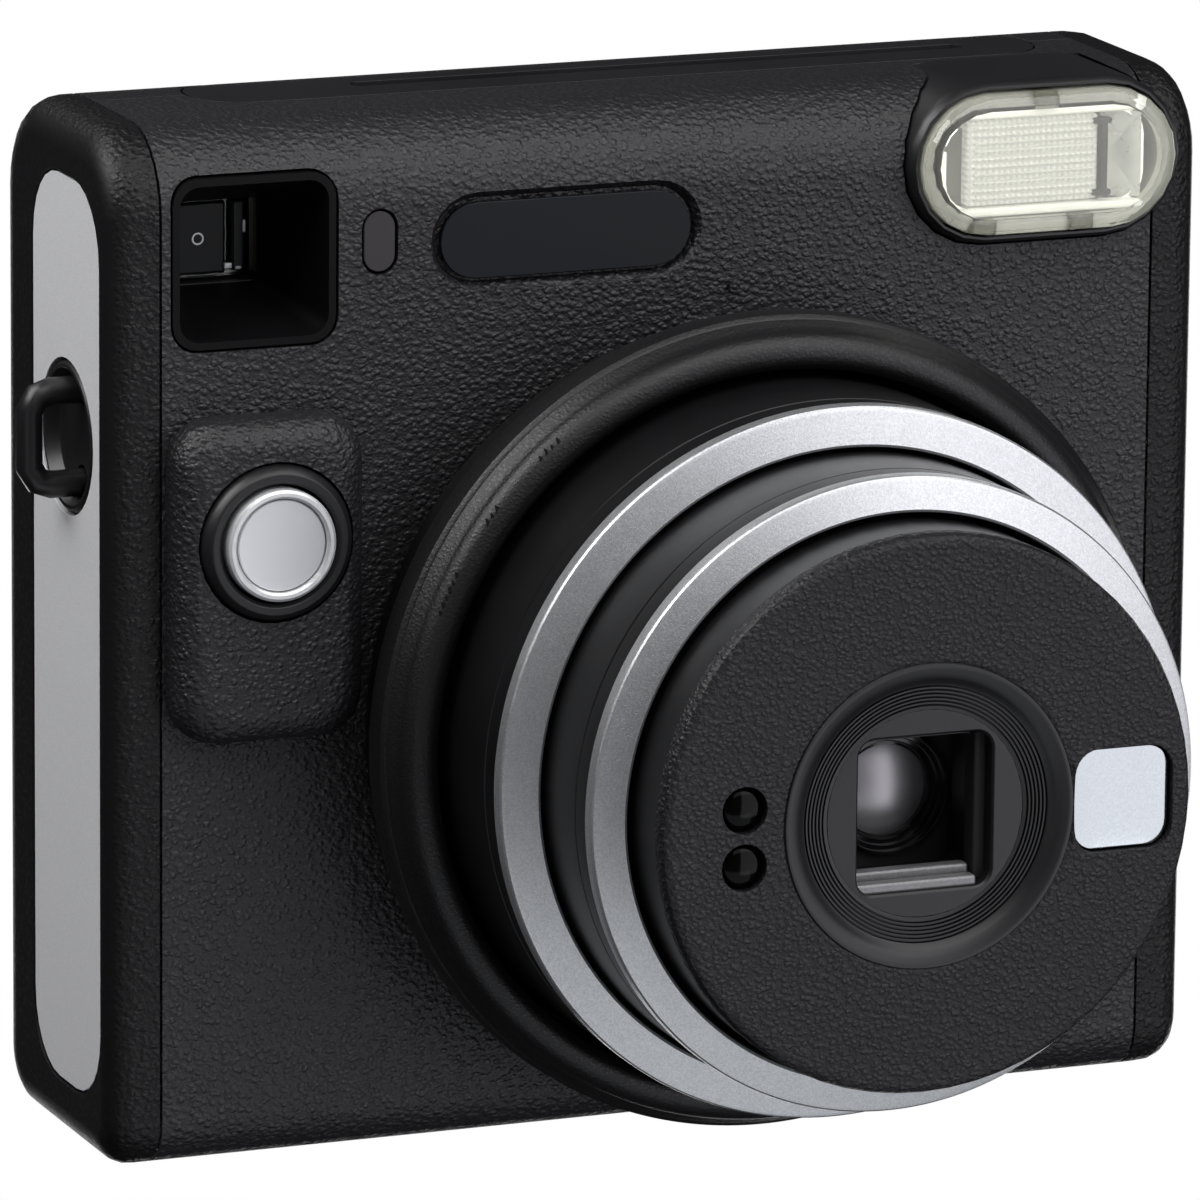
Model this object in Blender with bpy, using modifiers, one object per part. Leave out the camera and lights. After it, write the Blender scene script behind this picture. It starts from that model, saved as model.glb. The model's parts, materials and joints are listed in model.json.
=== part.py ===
"""Square-format instant camera with its three-stage lens run out, as an assembly of separate solids.

Metres, +Z up. The origin is the centre of the flat base. The front faces -Y, so +X is to the right
of someone who looks at the front. Forward distances are measured from the front wall towards -Y.
"""

import math

import bmesh
import bpy
from mathutils import Matrix, Vector

MM = 0.001

# Driving dimensions
BODY_WIDTH = 134.2 * MM
BODY_DEPTH = 39.0 * MM
BODY_HEIGHT = 120.2 * MM
WALL = 2.0 * MM
END_WALL = 2.5 * MM
GAP = 0.3 * MM
SEAM_X = 60.9 * MM
COVER_SPLIT_Y = 3.5 * MM

LENS_X = 8.5 * MM
LENS_Z = 49.9 * MM
DIAL_REACH = 17.0 * MM
DIAL_BORE = 42.0 * MM
OUTER_RING_RADIUS = 41.2 * MM
OUTER_RING_REACH = 34.0 * MM
MIDDLE_RING_RADIUS = 36.4 * MM
MIDDLE_RING_REACH = 49.3 * MM
FACE_RADIUS = 31.9 * MM
FACE_REACH = 58.2 * MM
RING_DEPTH = 3.0 * MM
STOWED_TRAVEL = (15.2 * MM, 29.6 * MM, 38.4 * MM)
STOWED_REAR = -15.6 * MM

GRIP_X = -49.1 * MM
GRIP_Z = 69.2 * MM
GRIP_WIDTH = 22.6 * MM
GRIP_LENGTH = 37.4 * MM
GRIP_HEIGHT = 5.5 * MM
BUTTON_X = -49.0 * MM
BUTTON_Z = 74.0 * MM
VIEWFINDER_X = -49.7 * MM
VIEWFINDER_Z = 105.2 * MM
VIEWFINDER_SIZE = 19.5 * MM
FLASH_X = 46.8 * MM
FLASH_Z = 111.0 * MM
NAME_PLATE_X = -12.0 * MM
NAME_PLATE_Z = 105.8 * MM
SLOT_X = 8.5 * MM
SLOT_Y = 3.5 * MM
SLOT_LENGTH = 76.4 * MM
SLOT_WIDTH = 2.6 * MM
SLOT_PANEL_X = 2.75 * MM
SLOT_PANEL_LENGTH = 104.5 * MM
SLOT_PANEL_WIDTH = 13.4 * MM
SIDE_PANEL_Y = -4.45 * MM
SIDE_PANEL_Z = 60.35 * MM
SIDE_PANEL_WIDTH = 22.9 * MM
SIDE_PANEL_HEIGHT = 106.0 * MM
SIDE_PANEL_CORNER = 8.5 * MM
LUG_Z = 83.3 * MM
LUG_PLATE_RADIUS = 8.75 * MM

FILM_PLANE_Y = 2.5 * MM
IMAGE_SIZE = 62.0 * MM
CHAMBER_LOW = (-34.3 * MM, -1.4 * MM, 8.3 * MM)
CHAMBER_HIGH = (51.3 * MM, 15.0 * MM, 101.7 * MM)
DOOR_LEFT = -33.5 * MM
DOOR_LOW = 10.0 * MM
DOOR_HIGH = 104.0 * MM
FILM_HINGE_X = 55.0 * MM
BATTERY_HINGE_X = -56.0 * MM
BATTERY_DOOR_RIGHT = -37.5 * MM
BATTERY_DOOR_LOW = 16.5 * MM
BATTERY_DOOR_HIGH = 75.5 * MM
KNUCKLE_RADIUS = 2.0 * MM
PIN_RADIUS = 0.65 * MM
PIN_HOLE = 0.98 * MM
HINGE_Y = BODY_DEPTH / 2 - KNUCKLE_RADIUS

ROLLER_RADIUS = 3.45 * MM
ROLLER_Z = 107.5 * MM
GEAR_MODULE = 0.6 * MM
GEAR_X = 53.5 * MM
GEAR_WIDTH = 2.4 * MM
ROLLER_TEETH = 12
DRIVE_TEETH = 18
PINION_TEETH = 10
BATTERY_X = -47.3 * MM
BATTERY_Y = 9.2 * MM
BATTERY_RADIUS = 7.8 * MM
BATTERY_LENGTH = 27.0 * MM

FRONT_Y = -BODY_DEPTH / 2
BACK_Y = BODY_DEPTH / 2
HALF_WIDTH = BODY_WIDTH / 2

FACING_FRONT = (math.pi / 2, 0, 0)
FACING_LEFT = (math.pi / 2, 0, -math.pi / 2)
FACING_RIGHT = (math.pi / 2, 0, math.pi / 2)
FACING_UP = (0, 0, 0)
FACING_BACK = (math.pi / 2, 0, math.pi)
ALONG_X = (0, math.pi / 2, 0)

FINISHES = {
    "leather_black": ((0.018, 0.018, 0.020), 0.55, 0.0),
    "satin_black": ((0.012, 0.012, 0.013), 0.40, 0.0),
    "matte_black": ((0.010, 0.010, 0.010), 0.75, 0.0),
    "panel_silver": ((0.52, 0.53, 0.54), 0.45, 0.6),
    "ring_silver": ((0.62, 0.63, 0.64), 0.35, 0.9),
    "clear": ((0.90, 0.92, 0.88), 0.08, 0.0),
    "lens_glass": ((0.55, 0.56, 0.60), 0.05, 0.0),
    "mirror": ((0.85, 0.88, 0.90), 0.05, 1.0),
    "reflector": ((0.80, 0.80, 0.78), 0.20, 1.0),
    "steel": ((0.50, 0.50, 0.50), 0.35, 1.0),
    "board_green": ((0.03, 0.16, 0.07), 0.60, 0.0),
    "gear_white": ((0.75, 0.74, 0.70), 0.50, 0.0),
    "battery_grey": ((0.25, 0.26, 0.28), 0.45, 0.2),
}


def ahead(distance):
    """The y of a point this far in front of the front wall."""
    return FRONT_Y - distance


# Scene and objects


def clear_scene():
    for obj in list(bpy.data.objects):
        bpy.data.objects.remove(obj, do_unlink=True)


def make_collection(name):
    collection = bpy.data.collections.new(name)
    bpy.context.scene.collection.children.link(collection)
    return collection


def make_materials():
    made = {}
    for name, (colour, roughness, metallic) in FINISHES.items():
        material = bpy.data.materials.new(name)
        material.use_nodes = True
        shader = material.node_tree.nodes["Principled BSDF"]
        shader.inputs["Base Color"].default_value = (*colour, 1.0)
        shader.inputs["Roughness"].default_value = roughness
        shader.inputs["Metallic"].default_value = metallic
        material.diffuse_color = (*colour, 1.0)
        made[name] = material
    return made


def add_object(name, data, finish):
    """Links a part, or a cutter when it has no finish."""
    obj = bpy.data.objects.new(name, data)
    if finish is None:
        CUTTERS.objects.link(obj)
        obj.hide_render = True
        obj.display_type = "WIRE"
    else:
        PARTS.objects.link(obj)
        obj.data.materials.append(MATERIALS[finish])
    return obj


def mesh_from(bm, name):
    bmesh.ops.recalc_face_normals(bm, faces=bm.faces)
    mesh = bpy.data.meshes.new(name)
    bm.to_mesh(mesh)
    bm.free()
    return mesh


def bevel(obj, width, segments=3, angle=math.radians(40)):
    modifier = obj.modifiers.new("edge", "BEVEL")
    modifier.width = width
    modifier.segments = segments
    modifier.limit_method = "ANGLE"
    modifier.angle_limit = angle
    return obj


def boolean(obj, other, operation):
    modifier = obj.modifiers.new(operation.lower(), "BOOLEAN")
    modifier.operation = operation
    modifier.solver = "EXACT"
    modifier.object = other


def subtract(obj, *cutters):
    for cutter in cutters:
        boolean(obj, cutter, "DIFFERENCE")


def unite(obj, *others):
    for other in others:
        boolean(obj, other, "UNION")


# Shapes


def box(name, low, high, finish=None, edge=0.0):
    """A box between two corners, with its origin at its centre."""
    low, high = Vector(low), Vector(high)
    bm = bmesh.new()
    bmesh.ops.create_cube(bm, size=1.0)
    bmesh.ops.scale(bm, vec=high - low, verts=bm.verts)
    obj = add_object(name, mesh_from(bm, name), finish)
    obj.location = (low + high) / 2
    if edge:
        bevel(obj, edge, 2)
    return obj


def cylinder(name, radius, length, centre, turn, finish=None, segments=32):
    bm = bmesh.new()
    bmesh.ops.create_cone(
        bm, cap_ends=True, segments=segments, radius1=radius, radius2=radius, depth=length
    )
    obj = add_object(name, mesh_from(bm, name), finish)
    obj.location = centre
    obj.rotation_euler = turn
    return obj


def turned(name, profile, place, finish=None, turn=FACING_FRONT, segments=48):
    """A profile of (height, radius) points screwed round its axis; height runs along the axis."""
    area = sum(
        r0 * h1 - r1 * h0
        for (h0, r0), (h1, r1) in zip(profile, profile[1:] + profile[:1])
    )
    points = profile if area < 0 else profile[::-1]
    closed = min(radius for _, radius in points) > 0
    bm = bmesh.new()
    verts = [bm.verts.new((radius, 0, height)) for height, radius in points]
    for first, second in zip(verts, verts[1:] + (verts[:1] if closed else [])):
        bm.edges.new((first, second))
    mesh = bpy.data.meshes.new(name)
    bm.to_mesh(mesh)
    bm.free()
    obj = add_object(name, mesh, finish)
    obj.location = place
    obj.rotation_euler = turn
    screw = obj.modifiers.new("turn", "SCREW")
    screw.steps = screw.render_steps = segments
    screw.use_merge_vertices = True
    screw.merge_threshold = 1e-6
    screw.use_smooth_shade = True
    return obj


def on_lens(name, profile, finish=None, segments=72):
    """A turned part on the lens axis. Heights are forward distances from the front wall."""
    return turned(name, profile, (LENS_X, FRONT_Y, LENS_Z), finish, FACING_FRONT, segments)


def rounded_outline(width, height, radius, steps=6):
    """Points round a rectangle with round corners, counter-clockwise."""
    points = []
    for corner, (side_x, side_y) in enumerate(((1, 1), (-1, 1), (-1, -1), (1, -1))):
        centre_x = side_x * (width / 2 - radius)
        centre_y = side_y * (height / 2 - radius)
        for step in range(steps + 1):
            angle = math.pi / 2 * (corner + step / steps)
            points.append(
                (centre_x + radius * math.cos(angle), centre_y + radius * math.sin(angle))
            )
    joined = []
    for point in points:
        if not joined or math.dist(point, joined[-1]) > 1e-6:
            joined.append(point)
    if math.dist(joined[0], joined[-1]) < 1e-6:
        joined.pop()
    return joined


def circle_outline(radius, segments=32):
    return [
        (radius * math.cos(2 * math.pi * i / segments), radius * math.sin(2 * math.pi * i / segments))
        for i in range(segments)
    ]


def plate(name, outlines, thickness, centre, turn, finish=None, as_mesh=False):
    """A flat outline, with any further outlines as holes, extruded to a thickness."""
    curve = bpy.data.curves.new(name, "CURVE")
    curve.dimensions = "2D"
    curve.fill_mode = "BOTH"
    curve.extrude = thickness / 2
    for outline in outlines:
        spline = curve.splines.new("POLY")
        spline.points.add(len(outline) - 1)
        for point, (x, y) in zip(spline.points, outline):
            point.co = (x, y, 0, 1)
        spline.use_cyclic_u = True
    obj = add_object(name, curve, finish)
    obj.location = centre
    obj.rotation_euler = turn
    if as_mesh or finish is None:
        return curve_to_mesh(obj)
    return obj


def curve_to_mesh(obj):
    """Replaces a curve object by its welded mesh, so that it can be cut or joined."""
    bpy.context.view_layer.update()
    graph = bpy.context.evaluated_depsgraph_get()
    mesh = bpy.data.meshes.new_from_object(obj.evaluated_get(graph))
    bm = bmesh.new()
    bm.from_mesh(mesh)
    bmesh.ops.remove_doubles(bm, verts=bm.verts, dist=1e-6)
    bmesh.ops.recalc_face_normals(bm, faces=bm.faces)
    bm.to_mesh(mesh)
    bm.free()
    made = bpy.data.objects.new("mesh", mesh)
    made.matrix_world = obj.matrix_world.copy()
    made.hide_render = obj.hide_render
    made.display_type = obj.display_type
    for collection in obj.users_collection:
        collection.objects.link(made)
    name = obj.name
    bpy.data.objects.remove(obj, do_unlink=True)
    made.name = name
    return made


def rod(name, points, radius, finish=None, sides=2):
    """A round bar along a list of points."""
    curve = bpy.data.curves.new(name, "CURVE")
    curve.dimensions = "3D"
    curve.bevel_depth = radius
    curve.bevel_resolution = sides
    curve.use_fill_caps = True
    spline = curve.splines.new("POLY")
    spline.points.add(len(points) - 1)
    for point, place in zip(spline.points, points):
        point.co = (*place, 1)
    return add_object(name, curve, finish)


def loft(name, rings, finish=None, hollow=False):
    """Quads between rings of equal length. A hollow loft closes on its first ring; others get caps."""
    bm = bmesh.new()
    loops = [[bm.verts.new(point) for point in ring] for ring in rings]
    pairs = list(zip(loops, loops[1:]))
    if hollow:
        pairs.append((loops[-1], loops[0]))
    for first, second in pairs:
        for i in range(len(first)):
            j = (i + 1) % len(first)
            bm.faces.new((first[i], first[j], second[j], second[i]))
    if not hollow:
        bm.faces.new(loops[0][::-1])
        bm.faces.new(loops[-1])
    return add_object(name, mesh_from(bm, name), finish)


def front_ring(width, height, radius, x, z, forward, steps=5):
    """A rounded rectangle that faces the front, as points in space."""
    return [
        (x + px, ahead(forward), z + pz)
        for px, pz in rounded_outline(width, height, radius, steps)
    ]


def gear_outline(teeth, phase):
    """Straight-flanked teeth; phase is the angle of one tooth's middle."""
    pitch_radius = GEAR_MODULE * teeth / 2
    root, tip = pitch_radius - 1.05 * GEAR_MODULE, pitch_radius + 0.8 * GEAR_MODULE
    step = 2 * math.pi / teeth
    points = []
    for tooth in range(teeth):
        middle = phase + tooth * step
        for share, radius in ((-0.30, root), (-0.10, tip), (0.10, tip), (0.30, root)):
            angle = middle + share * step
            points.append((radius * math.cos(angle), radius * math.sin(angle)))
    return points


# The body's outer form


def corner_points(centre_y, centre_z, radius, start, steps=7):
    return [
        (
            centre_y + radius * math.cos(start + math.pi / 2 * i / steps),
            centre_z + radius * math.sin(start + math.pi / 2 * i / steps),
        )
        for i in range(steps + 1)
    ]


def body_section(front, back, bottom, top, radii):
    """The side outline as (y, z) points. The radii are back top, front top, front bottom, back bottom."""
    back_top, front_top, front_bottom, back_bottom = radii
    return (
        corner_points(back - back_top, top - back_top, back_top, 0)
        + corner_points(front + front_top, top - front_top, front_top, math.pi / 2)
        + corner_points(front + front_bottom, bottom + front_bottom, front_bottom, math.pi)
        + corner_points(back - back_bottom, bottom + back_bottom, back_bottom, 1.5 * math.pi)
    )


EDGE_RADII = {"front": 3.0 * MM, "back": 6.0 * MM, "bottom": 4.0 * MM, "top": 4.2 * MM}
SIDE_RADII = (12.0 * MM, 9.5 * MM, 6.0 * MM, 8.0 * MM)
LEAST_RADIUS = 1.5 * MM
END_STATIONS = 6


def edge_inset(radius, distance):
    """How far a face has drawn in at this distance from the end of the body."""
    left = max(0.0, radius - distance)
    return radius - math.sqrt(max(0.0, radius**2 - left**2))


def body_form(name, shrink, end_shrink):
    """The body as one closed loft along X, drawn in by shrink on its long faces."""
    half = HALF_WIDTH - end_shrink
    longest = max(EDGE_RADII.values())
    distances = [
        longest * (1 - math.cos(math.pi / 2 * i / END_STATIONS)) for i in range(END_STATIONS + 1)
    ]
    stations = [(-half + d, d) for d in distances] + [(half - d, d) for d in reversed(distances)]
    rings = []
    for x, distance in stations:
        inset = {side: edge_inset(radius, distance) for side, radius in EDGE_RADII.items()}
        pairs = (("back", "top"), ("front", "top"), ("front", "bottom"), ("back", "bottom"))
        radii = [
            max(radius - shrink - (inset[a] + inset[b]) / 2, LEAST_RADIUS)
            for radius, (a, b) in zip(SIDE_RADII, pairs)
        ]
        section = body_section(
            FRONT_Y + shrink + inset["front"],
            BACK_Y - shrink - inset["back"],
            shrink + inset["bottom"],
            BODY_HEIGHT - shrink - inset["top"],
            radii,
        )
        rings.append([(x, y, z) for y, z in section])
    return loft(name, rings)


def slice_of_body(name, low, high, finish):
    """The part of the body's shell between two corners."""
    obj = add_object(name, BODY_OUTER.data.copy(), finish)
    boolean(obj, box(name + "_region", low, high), "INTERSECT")
    subtract(obj, BODY_INNER)
    return obj


# Covers and frames


FAR = 200 * MM
SEAM = SEAM_X - GAP / 2


def block(name, x, y, z, finish=None, edge=0.0):
    """A box from three (low, high) spans."""
    return box(name, (x[0], y[0], z[0]), (x[1], y[1], z[1]), finish, edge)


def front_plate(name, width, height, radius, depth, x, z, reach, finish=None, as_mesh=False):
    """A rounded plate that faces the front, with its front face at a reach."""
    outline = rounded_outline(width, height, min(radius, width / 2, height / 2), 6)
    centre = (x, ahead(reach - depth / 2), z)
    return plate(name, [outline], depth, centre, FACING_FRONT, finish, as_mesh)


def front_loft(name, x, z, steps, finish=None):
    """A loft of rounded rectangles (width, height, radius, reach) that face the front."""
    rings = [front_ring(w, h, min(r, w / 2, h / 2) - 1e-6, x, z, reach) for w, h, r, reach in steps]
    return loft(name, rings, finish)


def grip_form(name, grow, start, height):
    """The raised grip pad: a block with a soft shoulder on the front wall."""
    width, tall, corner = GRIP_WIDTH + 2 * grow, GRIP_LENGTH + 2 * grow, 5.0 * MM + grow
    shoulder = 3.4 * MM
    steps = [(width, tall, corner, start)]
    for i in range(5):
        angle = math.pi / 2 * i / 4
        inset = shoulder * (1 - math.cos(angle))
        reach = height - shoulder * (1 - math.sin(angle))
        steps.append((width - 2 * inset, tall - 2 * inset, corner, reach))
    return front_loft(name, GRIP_X, GRIP_Z, steps)


def flash_region():
    """The pocket for the flash housing."""
    return front_loft(
        "flash_pocket",
        FLASH_X,
        FLASH_Z,
        [(34.8 * MM, 19.6 * MM, FAR, -14.0 * MM), (34.8 * MM, 19.6 * MM, FAR, 6.0 * MM)],
    )


def slot_region(name, grow):
    outline = rounded_outline(
        SLOT_PANEL_LENGTH + 2 * grow, SLOT_PANEL_WIDTH + 2 * grow, 6.0 * MM + grow, 5
    )
    centre = (SLOT_PANEL_X, SLOT_Y, BODY_HEIGHT)
    return plate(name, [outline], 12 * MM, centre, FACING_UP)


def upright(name, radius, x, y, z, segments=20):
    """A vertical cylinder, used as a cutter or as a boss."""
    return cylinder(name, radius, z[1] - z[0], (x, y, (z[0] + z[1]) / 2), FACING_UP, None, segments)


def hinge_bosses(cover, name, x, low, high):
    """Bosses above and below a door for the ends of its pin."""
    for end, span in (("low", (low - 3.4 * MM, low - GAP)), ("high", (high + GAP, high + 3.4 * MM))):
        unite(cover, block(name + end, (x - 2 * MM, x + 2 * MM), (15.2 * MM, 18.2 * MM), span))
    subtract(cover, upright(name + "_hole", PIN_HOLE, x, HINGE_Y, (low - 2.6 * MM, high + 2.6 * MM)))


def make_front_cover():
    cover = slice_of_body(
        "front_cover", (-SEAM, -FAR, -FAR), (SEAM, COVER_SPLIT_Y - GAP / 2, FAR), "leather_black"
    )
    unite(cover, grip_form("grip_outside", 0.0, -1.0 * MM, GRIP_HEIGHT))
    unite(
        cover,
        front_loft(
            "index_mark",
            LENS_X,
            98.6 * MM,
            [(1.6 * MM, 1.9 * MM, 0.4 * MM, -1 * MM), (1.2 * MM, 1.5 * MM, 0.4 * MM, 0.5 * MM)],
        ),
    )
    subtract(
        cover,
        grip_form("grip_inside", -2.0 * MM, -4.0 * MM, GRIP_HEIGHT - 2.0 * MM),
        cylinder("collar_hole", 9.3 * MM, 30 * MM, (BUTTON_X, FRONT_Y, BUTTON_Z), FACING_FRONT),
        cylinder("dial_hole", 43.3 * MM, 20 * MM, (LENS_X, FRONT_Y, LENS_Z), FACING_FRONT, None, 64),
        front_plate(
            "finder_hole", 20.1 * MM, 20.1 * MM, 3.3 * MM, 9 * MM, VIEWFINDER_X, VIEWFINDER_Z, 2 * MM
        ),
        front_plate("sensor_hole", 4.4 * MM, 7.6 * MM, 9, 9 * MM, -34.7 * MM, 106.5 * MM, 2 * MM),
        front_loft(
            "name_recess",
            NAME_PLATE_X,
            NAME_PLATE_Z,
            [(31.4 * MM, 9.6 * MM, FAR, -1.3 * MM), (34.4 * MM, 12.6 * MM, FAR, 0.9 * MM)],
        ),
        flash_region(),
        slot_region("front_slot_pocket", GAP),
    )
    return cover


def make_rear_cover():
    cover = slice_of_body(
        "rear_cover", (-SEAM, COVER_SPLIT_Y + GAP / 2, -FAR), (SEAM, FAR, FAR), "satin_black"
    )
    subtract(
        cover,
        slot_region("rear_slot_pocket", GAP),
        block(
            "film_opening",
            (DOOR_LEFT - GAP, FILM_HINGE_X + 2.6 * MM),
            (10 * MM, 30 * MM),
            (DOOR_LOW - GAP, DOOR_HIGH + GAP),
        ),
        block(
            "battery_opening",
            (BATTERY_HINGE_X - 2.6 * MM, BATTERY_DOOR_RIGHT + GAP),
            (10 * MM, 30 * MM),
            (BATTERY_DOOR_LOW - GAP, BATTERY_DOOR_HIGH + GAP),
        ),
        block(
            "eyepiece_hole",
            (VIEWFINDER_X - 7.6 * MM, VIEWFINDER_X + 7.6 * MM),
            (10 * MM, 30 * MM),
            (VIEWFINDER_Z - 6.3 * MM, VIEWFINDER_Z + 6.3 * MM),
        ),
    )
    hinge_bosses(cover, "film_boss_", FILM_HINGE_X, DOOR_LOW, DOOR_HIGH)
    hinge_bosses(cover, "battery_boss_", BATTERY_HINGE_X, BATTERY_DOOR_LOW, BATTERY_DOOR_HIGH)
    return cover


def make_side(side):
    """A side frame with its silver panel. The side is -1 for left and 1 for right."""
    word = "left" if side < 0 else "right"
    span = (-FAR, -SEAM - GAP) if side < 0 else (SEAM + GAP, FAR)
    frame = slice_of_body(
        "side_frame_" + word, (span[0], -FAR, -FAR), (span[1], FAR, FAR), "satin_black"
    )
    pocket = rounded_outline(
        SIDE_PANEL_WIDTH + 2 * GAP, SIDE_PANEL_HEIGHT + 2 * GAP, SIDE_PANEL_CORNER + GAP
    )
    turn = FACING_LEFT if side < 0 else FACING_RIGHT
    depth = 1.5 * MM
    centre = (side * (HALF_WIDTH + 2 * MM - depth), SIDE_PANEL_Y, SIDE_PANEL_Z)
    subtract(frame, plate("panel_pocket_" + word, [pocket], 4 * MM, centre, turn))
    outlines = [rounded_outline(SIDE_PANEL_WIDTH, SIDE_PANEL_HEIGHT, SIDE_PANEL_CORNER)]
    if side < 0:
        hole = circle_outline(LUG_PLATE_RADIUS + GAP, 40)
        outlines.append([(x, z + LUG_Z - SIDE_PANEL_Z) for x, z in hole])
        subtract(
            frame,
            cylinder(
                "lug_hole",
                LUG_PLATE_RADIUS + GAP,
                20 * MM,
                (-HALF_WIDTH, SIDE_PANEL_Y, LUG_Z),
                FACING_LEFT,
                None,
                40,
            ),
        )
    else:
        subtract(frame, flash_region())
    centre = (side * (HALF_WIDTH - 0.7 * MM), SIDE_PANEL_Y, SIDE_PANEL_Z)
    plate("side_panel_" + word, outlines, 1.0 * MM, centre, turn, "panel_silver")


def make_slot_panel():
    panel = add_object("slot_panel", BODY_OUTER.data.copy(), "satin_black")
    boolean(panel, slot_region("slot_panel_region", 0.0), "INTERSECT")
    slot = rounded_outline(SLOT_LENGTH, SLOT_WIDTH, 1.2 * MM, 3)
    subtract(
        panel,
        BODY_INNER,
        plate("film_slot", [slot], 20 * MM, (SLOT_X, SLOT_Y, BODY_HEIGHT), FACING_UP),
    )


def make_strap_lug():
    """The round dished plate in the left panel, and the D-shaped loop that stands in it."""
    place = (-HALF_WIDTH, SIDE_PANEL_Y, LUG_Z)
    dish = [
        (-3.4 * MM, 0),
        (-3.4 * MM, LUG_PLATE_RADIUS),
        (-0.6 * MM, LUG_PLATE_RADIUS),
        (-0.2 * MM, 8.3 * MM),
        (-0.2 * MM, 7.9 * MM),
        (-1.7 * MM, 6.9 * MM),
        (-2.1 * MM, 5.8 * MM),
        (-2.1 * MM, 0),
    ]
    lug_plate = turned("lug_plate", dish, place, "satin_black", FACING_LEFT, 40)
    out, half = -HALF_WIDTH - 4.3 * MM, 5.4 * MM
    foot = -HALF_WIDTH + 3.0 * MM
    path = [(foot, half), (out + 2.6 * MM, half), (out + 1.0 * MM, half - 0.5 * MM)]
    path += [(out, half - 2.2 * MM)]
    path += [(x, -z) for x, z in reversed(path)]
    points = [(x, SIDE_PANEL_Y, LUG_Z + z) for x, z in path]
    rod("strap_lug", points, 1.6 * MM, "satin_black", 3)
    for end in (-1, 1):
        name = "lug_foot_%d" % (end + 1)
        centre = (-HALF_WIDTH, SIDE_PANEL_Y, LUG_Z + end * half)
        subtract(lug_plate, cylinder(name, 1.95 * MM, 20 * MM, centre, FACING_LEFT, None, 20))


# Front fittings


def make_viewfinder():
    window = 9.8 * MM
    outer = [
        (19.5 * MM, 19.5 * MM, 3.0 * MM, -0.1 * MM),
        (19.5 * MM, 19.5 * MM, 3.0 * MM, -3.0 * MM),
        (13.4 * MM, 13.4 * MM, 2.0 * MM, -13.0 * MM),
    ]
    inner = [
        (17.9 * MM, 17.9 * MM, 2.4 * MM, 0.1 * MM),
        (17.3 * MM, 17.3 * MM, 2.2 * MM, -1.2 * MM),
        (window, window, 0.8 * MM, -12.0 * MM),
        (window, window, 0.8 * MM, -14.0 * MM),
    ]
    bezel = front_loft("viewfinder_bezel", VIEWFINDER_X, VIEWFINDER_Z, outer, "satin_black")
    subtract(bezel, front_loft("finder_funnel", VIEWFINDER_X, VIEWFINDER_Z, inner))
    front_plate(
        "viewfinder_window",
        11.6 * MM,
        9.2 * MM,
        0.8 * MM,
        2.0 * MM,
        VIEWFINDER_X,
        VIEWFINDER_Z,
        -15.2 * MM,
        "clear",
    )
    eyepiece = block(
        "eyepiece_bezel",
        (VIEWFINDER_X - 7.2 * MM, VIEWFINDER_X + 7.2 * MM),
        (-6.0 * MM, 19.9 * MM),
        (VIEWFINDER_Z - 5.9 * MM, VIEWFINDER_Z + 5.9 * MM),
        "satin_black",
    )
    rim = front_plate(
        "eyepiece_rim", 18.0 * MM, 15.4 * MM, 3 * MM, 1.2 * MM, VIEWFINDER_X, VIEWFINDER_Z, -39.3 * MM
    )
    unite(eyepiece, rim)
    subtract(
        eyepiece,
        block(
            "eyepiece_tunnel",
            (VIEWFINDER_X - 6.2 * MM, VIEWFINDER_X + 6.2 * MM),
            (-10.0 * MM, 30.0 * MM),
            (VIEWFINDER_Z - 4.9 * MM, VIEWFINDER_Z + 4.9 * MM),
        ),
    )
    front_plate(
        "eyepiece_lens",
        11.8 * MM,
        9.2 * MM,
        0.8 * MM,
        1.6 * MM,
        VIEWFINDER_X,
        VIEWFINDER_Z,
        -37.2 * MM,
        "clear",
    )


def make_front_trim():
    front_plate(
        "sensor_window", 3.8 * MM, 7.0 * MM, 9, 2.0 * MM, -34.7 * MM, 106.5 * MM, -0.2 * MM, "clear"
    )
    front_plate(
        "name_plate",
        30.6 * MM,
        8.8 * MM,
        9,
        0.7 * MM,
        NAME_PLATE_X,
        NAME_PLATE_Z,
        -0.3 * MM,
        "satin_black",
    )


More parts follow.
